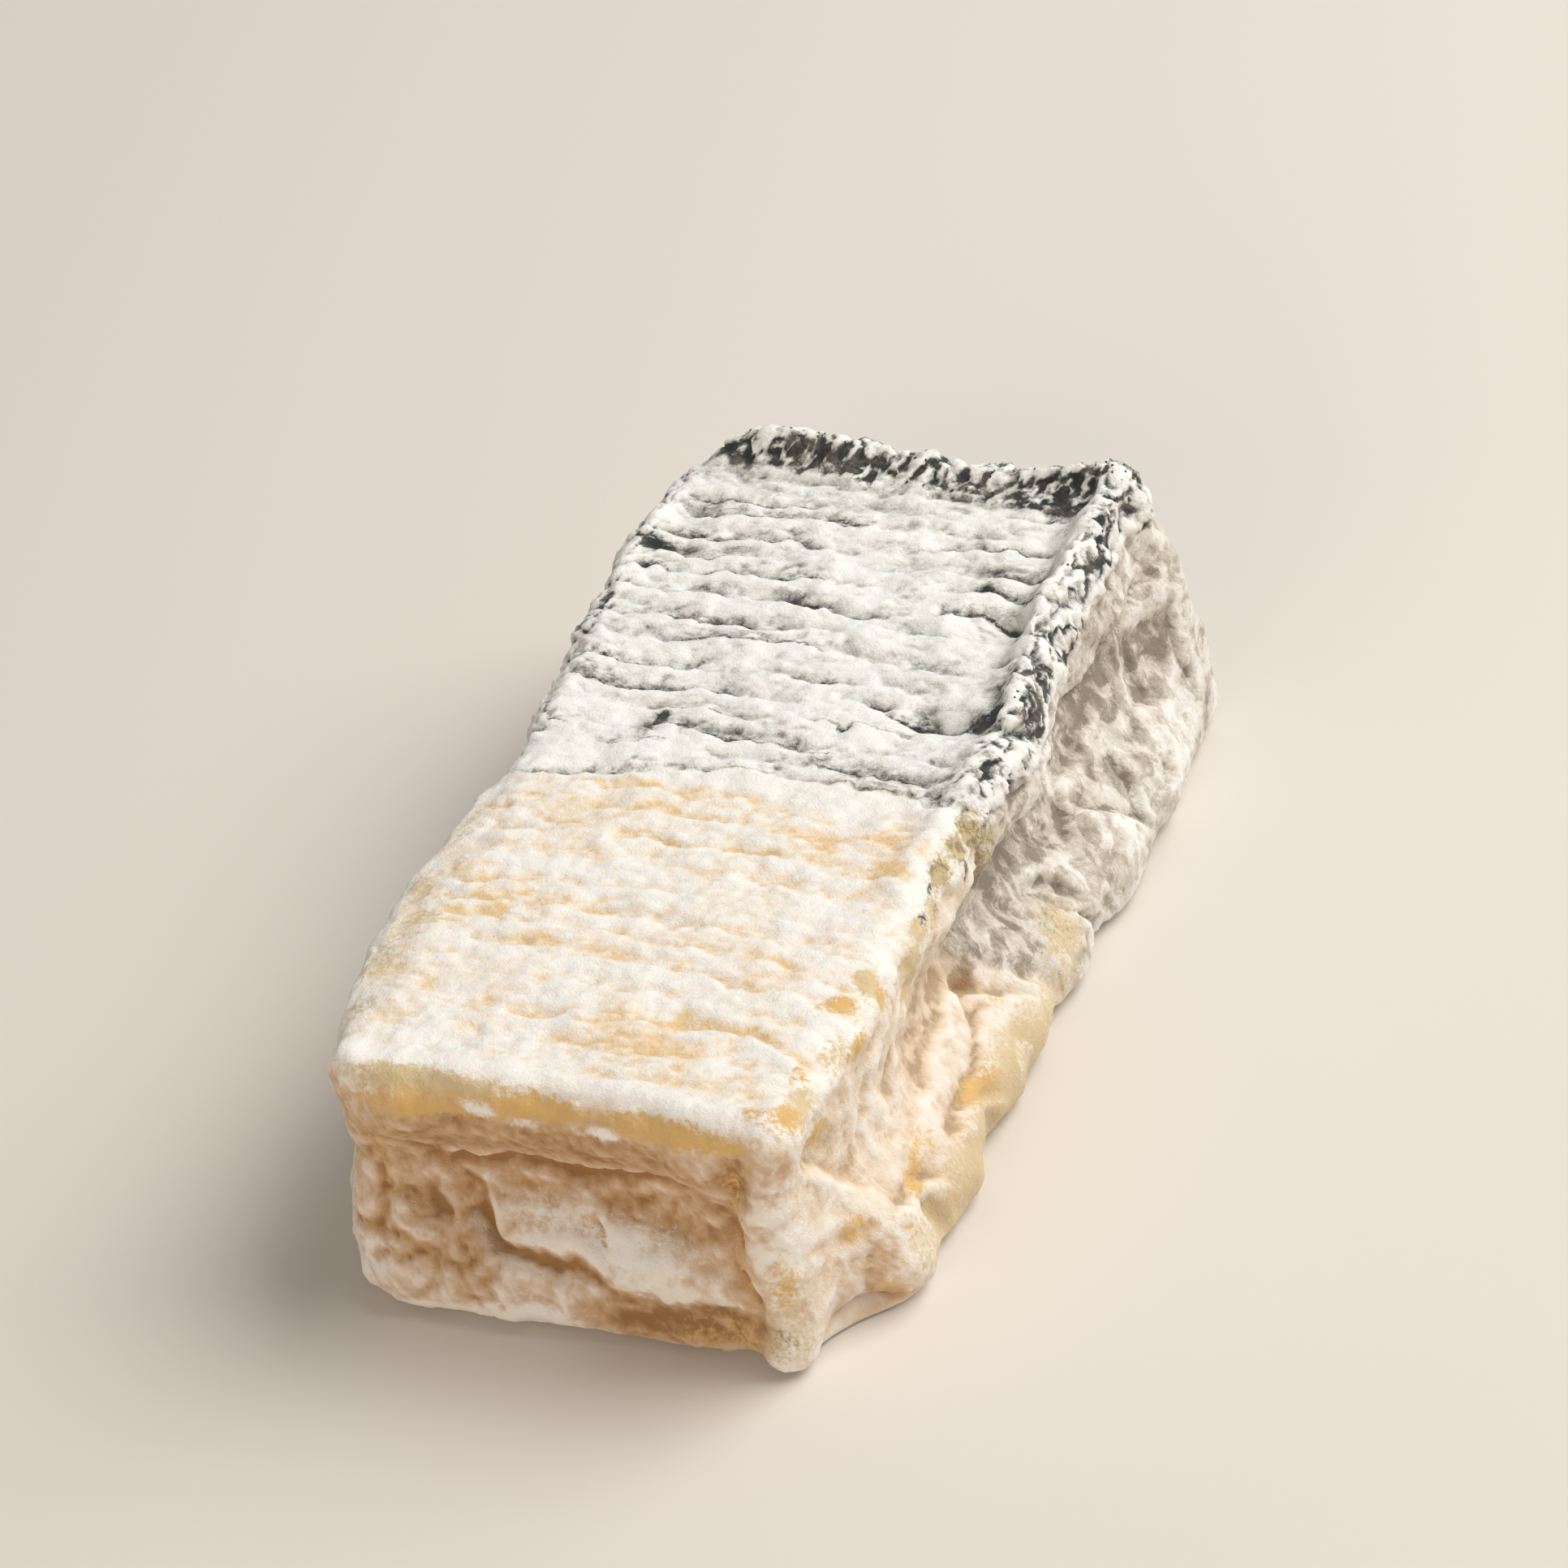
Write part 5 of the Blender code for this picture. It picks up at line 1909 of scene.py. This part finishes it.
@dataclass(frozen=True)
class RindFinish(Finish):
    """The rind of both halves. Each range of tones runs from thick bloom to bare rind."""

    plain_top: Tones = (
        (0.10, (0.94, 0.905, 0.85)), (0.42, (0.92, 0.84, 0.74)), (0.70, (0.89, 0.74, 0.55)),
        (1.0, (0.83, 0.60, 0.33)),
    )
    plain_wall: Tones = (
        (0.10, (0.88, 0.81, 0.72)), (0.40, (0.82, 0.70, 0.56)), (0.70, (0.72, 0.56, 0.40)),
        (1.0, (0.48, 0.35, 0.22)),
    )
    # The near end's tones: its tan rind, darkened and warmed as painted shade of a face turned from the key
    # light, with painted warm bounce light.
    front: Tones = (
        (0.10, (0.90, 0.82, 0.72)), (0.40, (0.71, 0.535, 0.385)), (0.66, (0.59, 0.38, 0.20)),
        (1.0, (0.37, 0.19, 0.07)),
    )
    ash_top: Tones = (
        (0.05, (0.93, 0.915, 0.88)), (0.25, (0.83, 0.82, 0.785)), (0.47, (0.60, 0.59, 0.545)),
        (0.76, (0.25, 0.25, 0.235)), (1.0, (0.035, 0.037, 0.037)),
    )
    ash_wall: Tones = (
        (0.08, (0.90, 0.875, 0.83)), (0.36, (0.79, 0.745, 0.68)), (0.62, (0.62, 0.555, 0.475)),
        (1.0, (0.28, 0.235, 0.185)),
    )
    white: Colour = (0.94, 0.90, 0.84)
    butter: Colour = (0.70, 0.55, 0.32)
    wax: Colour = (0.69, 0.545, 0.325)
    ochre: Colour = (0.74, 0.475, 0.18)
    olive: Colour = (0.60, 0.49, 0.28)
    olive_deep: Colour = (0.34, 0.26, 0.13)
    black: Colour = (0.022, 0.024, 0.025)
    stray: Colour = (0.13, 0.11, 0.075)
    wax_gloss: float = 0.32
    drift: Mottle = Mottle(8.0, 3.0, 0.55, 0.5, 1.6)
    wisps: Mottle = Mottle(1.9, 5.0, 0.66, 0.6, 1.3)
    grain: Mottle = Mottle(0.45, 3.0, 0.7, 0.3, 1.1)
    mottle: Mottle = Mottle(2.6, 4.0, 0.6, 0.8, 1.5)
    curls: Mottle = Mottle(3.2, 2.0, 0.5, 1.2, 4.0)
    ridges: Mottle = Mottle(5.0, 2.0, 0.5, 0.5, 4.0)
    facets: Mottle = Mottle(4.6, 3.0, 0.55, 0.6, 2.0)
    line_waver: Mottle = Mottle(1.3, 3.0, 0.6, 0.5, 1.6)
    line_breaks: Mottle = Mottle(3.0, 4.0, 0.6, 0.6, 1.8)
    butter_spots: Spread = Spread(Mark.YELLOW, 0.95, 3.0, 0.9, 1.7)
    ochre_spots: Spread = Spread(Mark.OCHRE, 0.75, 3.0, 0.9, 1.8)
    wax_lobes: Spread = Spread(Mark.WAXY, 0.85, 4.0, 1.0, 0.7)
    olive_wrinkles: Spread = Spread(Mark.OLIVE, 1.1, 2.2, 0.9, 1.8)
    bloom: Spread = Spread(Mark.BLOOM, 0.72, 2.6)

    def ground(self, graph: Graph, place: bpy.types.NodeSocket, veil: bpy.types.NodeTree) -> Ground:
        """The values that several colours share.

        Args:
            graph: The material's graph.
            place: The place on the brick, in millimetres.
            veil: The group that spreads a tint in wisps.

        Returns:
            The tints, the hollows, which darken the colours partly as bare rind and partly as painted shade,
            the unevenness and the crevices' own lines, thin and broken.
        """
        mark = {m: graph.attribute(m) for m in Mark}
        hollow = graph.times(graph.less(mark[Mark.HOLLOW], 0.5), 0.5)
        fold = graph.times(graph.less(mark[Mark.FOLD], 0.5), 0.5)
        edge = graph.times(graph.less(mark[Mark.EDGE], 0.5), 4.0)
        thin_line = graph.near_zero(graph.total(edge, self.line_waver.at(graph, place)), 0.28)
        broken = graph.step(graph.total(mark[Mark.LINE], self.line_breaks.at(graph, place)), 0.3, 1.0)
        return Ground(
            graph=graph,
            place=place,
            veil=veil,
            mark=mark,
            hollow=hollow,
            fold=fold,
            bare_and_shaded_hollows=graph.total(hollow, fold),
            drift=self.drift.at(graph, place),
            wisps=self.wisps.at(graph, place),
            grain=self.grain.at(graph, place),
            mottle=self.mottle.at(graph, place),
            curl=graph.near_zero(self.curls.at(graph, place), 0.45),
            line=graph.times(thin_line, broken),
        )

    def plain_colour(self, on: Ground) -> bpy.types.NodeSocket:
        """The colour of the plain half.

        Args:
            on: The shared values.

        Returns:
            The colour, with its own tones on the top, the walls and the near end. It darkens in hollows,
            partly as bare rind and partly as painted shade, and the near end's darker, warmer tones are
            partly its tan rind and partly painted shade with painted warm bounce light.
        """
        graph, times, total = on.graph, on.graph.times, on.graph.total
        tint = total(times(on.mark[Mark.ORANGE], 0.4), times(on.mark[Mark.BLOOM], -0.5))
        top = total(0.27, on.bare_and_shaded_hollows, on.drift, on.wisps, tint, times(on.line, 0.18), times(on.grain, 0.3))
        wall = total(0.4, on.bare_and_shaded_hollows, times(on.drift, 1.1), times(on.wisps, 0.45), tint)
        wall = total(wall, times(on.mark[Mark.TAN], 0.3))
        end = total(0.58, times(on.hollow, 1.1), times(on.fold, 0.7), times(on.drift, 0.3))
        end = total(end, times(on.wisps, 0.42), times(on.mark[Mark.TAN], 0.26))
        end = total(end, times(on.mark[Mark.BLOOM], -0.45))
        top, wall = graph.ramp(top, self.plain_top), graph.ramp(wall, self.plain_wall)
        plain = graph.mix(on.mark[Mark.WALL], top, wall)
        return graph.mix(on.mark[Mark.FRONT], plain, graph.ramp(end, self.front))

    def ash_top_colour(self, on: Ground) -> bpy.types.NodeSocket:
        """The colour of the ash half's top and rims.

        Args:
            on: The shared values.

        Returns:
            The colour: a grey wash in places, dark where soot is marked, darker in hollows partly as bare ash
                and partly as painted shade, nearly black in specks and strokes.
        """
        graph, times, total = on.graph, on.graph.times, on.graph.total
        wash = times(graph.step(total(on.drift, times(on.wisps, 0.8)), -0.25, 0.45), 0.43)
        ridges = graph.step(graph.maths("ABSOLUTE", self.ridges.at(graph, on.place)), 0.0, 0.8)
        strokes = total(times(graph.less(0.5, ridges), 0.5), times(on.curl, 0.5), -0.1)
        soot = total(0.38, times(on.wisps, 0.7), times(on.mottle, 0.6), times(on.drift, 0.15))
        soot = times(on.mark[Mark.SOOT], total(soot, times(on.hollow, 1.3), times(strokes, 0.4)))
        soot = total(soot, times(graph.step(on.mark[Mark.SOOT], 0.9, 1.5), 0.34))
        sooty_and_shaded = total(wash, soot, times(on.bare_and_shaded_hollows, 0.5), times(on.line, 0.55))
        speckle = times(on.grain, times(graph.step(sooty_and_shaded, -0.1, 0.7), 0.7))
        sooty_and_shaded = total(sooty_and_shaded, speckle)
        beige = times(graph.step(total(on.mottle, times(on.wisps, 0.5)), -0.1, 0.4), 0.6)
        return graph.mix(beige, graph.ramp(sooty_and_shaded, self.ash_top), graph.ramp(sooty_and_shaded, self.ash_wall))

    def ash_wall_colour(self, on: Ground) -> bpy.types.NodeSocket:
        """The colour of the ash half's walls.

        Args:
            on: The shared values.

        Returns:
            The colour: facets with soft edges, thin outlines around them, a fine grain and blots of soot,
                darker in hollows partly as bare rind and partly as painted shade.
        """
        graph, times, total = on.graph, on.graph.times, on.graph.total
        field = self.facets.at(graph, on.place)
        facets = times(graph.less(graph.step(field, -0.1, 0.14), 0.5), 0.34)
        outline = times(graph.near_zero(field, 0.05), graph.step(on.wisps, -0.1, 0.35))
        thin = total(0.59, times(on.bare_and_shaded_hollows, 0.5), times(on.drift, 0.8), times(on.wisps, 0.5))
        thin = total(thin, times(on.mark[Mark.TAN], 0.25), facets, times(on.mark[Mark.BLOOM], -0.4))
        thin = total(thin, times(on.grain, 0.5), times(outline, 0.25))
        blots = times(on.mark[Mark.SOOT], total(0.75, on.wisps, times(on.mottle, 0.5), on.hollow))
        return graph.mix(graph.step(blots, 0.45, 0.9), graph.ramp(thin, self.ash_wall), self.black)

    def colour(
        self, graph: Graph, place: bpy.types.NodeSocket, veil: bpy.types.NodeTree
    ) -> bpy.types.NodeSocket:
        """The colour of the whole rind.

        Args:
            graph: The material's graph.
            place: The place on the brick, in millimetres.
            veil: The group that spreads a tint in wisps.

        Returns:
            The colour.
        """
        times, total = graph.times, graph.total
        on = self.ground(graph, place, veil)
        ash = graph.mix(on.mark[Mark.WALL], self.ash_top_colour(on), self.ash_wall_colour(on))
        colour = graph.mix(on.mark[Mark.ASH], self.plain_colour(on), ash)
        colour = on.cover(self.butter_spots, colour, self.butter)
        colour = on.cover(self.ochre_spots, colour, self.ochre)
        colour = on.cover(self.wax_lobes, colour, self.wax)
        olive = graph.step(total(on.wisps, times(on.curl, 0.3)), 0.0, 0.35)
        olive = graph.mix(olive, self.olive, self.olive_deep)
        colour = on.cover(self.olive_wrinkles, colour, olive)
        stray = times(on.mark[Mark.SOOT], total(0.7, on.wisps, times(on.curl, 0.4)))
        stray = times(graph.step(stray, 0.4, 0.9), graph.less(1.0, on.mark[Mark.ASH]))
        colour = graph.mix(stray, colour, self.stray)
        return on.cover(self.bloom, colour, self.white)

    def material(self, veil: bpy.types.NodeTree, fluff: bpy.types.NodeTree) -> bpy.types.Material:
        """The rind's material.

        Args:
            veil: The group that spreads a tint in wisps.
            fluff: The group for the fine surface.

        Returns:
            The material.
        """
        material, graph, shader = self.begin()
        place = graph.place((1.0, 1.3, 1.0))
        graph.put(shader.inputs["Base Color"], self.colour(graph, place, veil))
        wax = graph.times(graph.attribute(Mark.WAXY), self.wax_gloss)
        graph.put(shader.inputs["Roughness"], graph.less(self.roughness, wax))
        self.roughen(graph, shader, graph.group(fluff, Vector=place, Hair=0.5, Grain=0.25).outputs["Height"])
        return material


@dataclass(frozen=True)
class AshFinish(Finish):
    """Loose crumbs of ash, with a little bloom on them."""

    black: Colour = (0.02, 0.022, 0.023)
    grey: Colour = (0.16, 0.16, 0.15)

    def material(self, veil: bpy.types.NodeTree, fluff: bpy.types.NodeTree) -> bpy.types.Material:
        """The crumbs' material, from the same two groups as the rind's.

        Args:
            veil: The group that spreads a tint in wisps.
            fluff: The group for the fine surface.

        Returns:
            The material.
        """
        material, graph, shader = self.begin()
        place = graph.place()
        wisps = graph.group(veil, Vector=place, Amount=0.4, Size=0.8, Patches=1.0, Fray=1.0).outputs["Mask"]
        graph.put(shader.inputs["Base Color"], graph.mix(wisps, self.black, self.grey))
        self.roughen(graph, shader, graph.group(fluff, Vector=place, Hair=0.3, Grain=0.3).outputs["Height"])
        return material


# ---------------------------------------------------------------- the studio


@dataclass
class Studio:
    """The pale floor, the soft lights and the camera."""

    camera_at: Place = (341.909, -676.717, 638.155)
    camera_right: Place = (0.92813674, 0.3510696, -0.12374301)
    camera_up: Place = (-0.13139615, 0.62001839, 0.77350646)
    camera_back: Place = (0.34827755, -0.70166041, 0.62159104)
    sensor: float = 24.0
    lens: float = 100.0
    floor_half: float = 3.0
    floor_drop: float = 0.0003
    floor_colour: Colour = (0.76, 0.71, 0.65)
    ambient: float = 0.2

    def floor(self) -> None:
        """A plain pale floor under the brick."""
        bpy.ops.mesh.primitive_plane_add(size=2 * self.floor_half, location=(0, 0, -self.floor_drop))
        floor = bpy.context.active_object
        floor.name = "floor"
        material = bpy.data.materials.new("floor")
        material.use_nodes = True
        shader = material.node_tree.nodes["Principled BSDF"]
        shader.inputs["Base Color"].default_value = (*self.floor_colour, 1.0)
        shader.inputs["Roughness"].default_value = 0.9
        floor.data.materials.append(material)

    def camera(self) -> None:
        """The camera at the photograph's viewing angle."""
        data = bpy.data.cameras.new("camera")
        data.sensor_width = self.sensor
        data.lens = self.lens
        data.clip_end = 20.0
        camera = bpy.data.objects.new("camera", data)
        bpy.context.scene.collection.objects.link(camera)
        turn = Matrix((self.camera_right, self.camera_up, self.camera_back)).transposed()
        at = (Vector(self.camera_at) - Vector(FRAME_SHIFT)) * MM
        camera.matrix_world = Matrix.Translation(at) @ turn.to_4x4()
        bpy.context.scene.camera = camera

    def light(
        self, name: str, towards: Place, distance: float, size: float, power: float, colour: Colour
    ) -> None:
        """A square soft light that faces the brick.

        Args:
            name: Its name.
            towards: Its direction from the brick.
            distance: How far away it is, in metres.
            size: The side of its square, in metres.
            power: Its power in watts.
            colour: Its colour.
        """
        data = bpy.data.lights.new(name, "AREA")
        data.size = size
        data.energy = power
        data.color = colour
        lamp = bpy.data.objects.new(name, data)
        bpy.context.scene.collection.objects.link(lamp)
        direction = Vector(towards).normalized()
        turn = direction.to_track_quat("Z", "Y").to_matrix().to_4x4()
        lamp.matrix_world = Matrix.Translation(direction * distance) @ turn

    def build(self) -> None:
        """Sets up the whole studio."""
        self.floor()
        self.camera()
        self.light("key", (0.6, 0.42, 0.9), 1.5, 1.2, 25.0, (1.0, 0.985, 0.95))
        self.light("fill", (-0.1, -1.0, 0.35), 1.5, 1.0, 7.5, (1.0, 0.87, 0.74))
        world = bpy.data.worlds.new("studio")
        bpy.context.scene.world = world
        world.use_nodes = True
        world.node_tree.nodes["Background"].inputs["Color"].default_value = (1.0, 1.0, 1.0, 1.0)
        world.node_tree.nodes["Background"].inputs["Strength"].default_value = self.ambient
        bpy.context.scene.view_settings.view_transform = "Standard"


def dress(piece: bpy.types.Object, material: bpy.types.Material) -> None:
    """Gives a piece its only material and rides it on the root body.

    Args:
        piece: The piece.
        material: Its material.
    """
    piece.data.materials.clear()
    piece.data.materials.append(material)
    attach(piece, "root")
    log.info("%s: %d faces", piece.name, len(piece.data.polygons))


def main() -> None:
    """Builds the studio and the brick in order."""
    logging.basicConfig(level=logging.INFO, format="%(name)s: %(message)s")
    Studio().build()
    veil, fluff = veil_group(), fluff_group()
    brick = Rind().build()
    dress(brick, RindFinish("rind").material(veil, fluff))
    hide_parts("cheese_brick")
    soot = AshFinish("soot").material(veil, fluff)
    dress(AshCrumbs().build(brick, soot), soot)


if __name__ == "__main__":
    main()
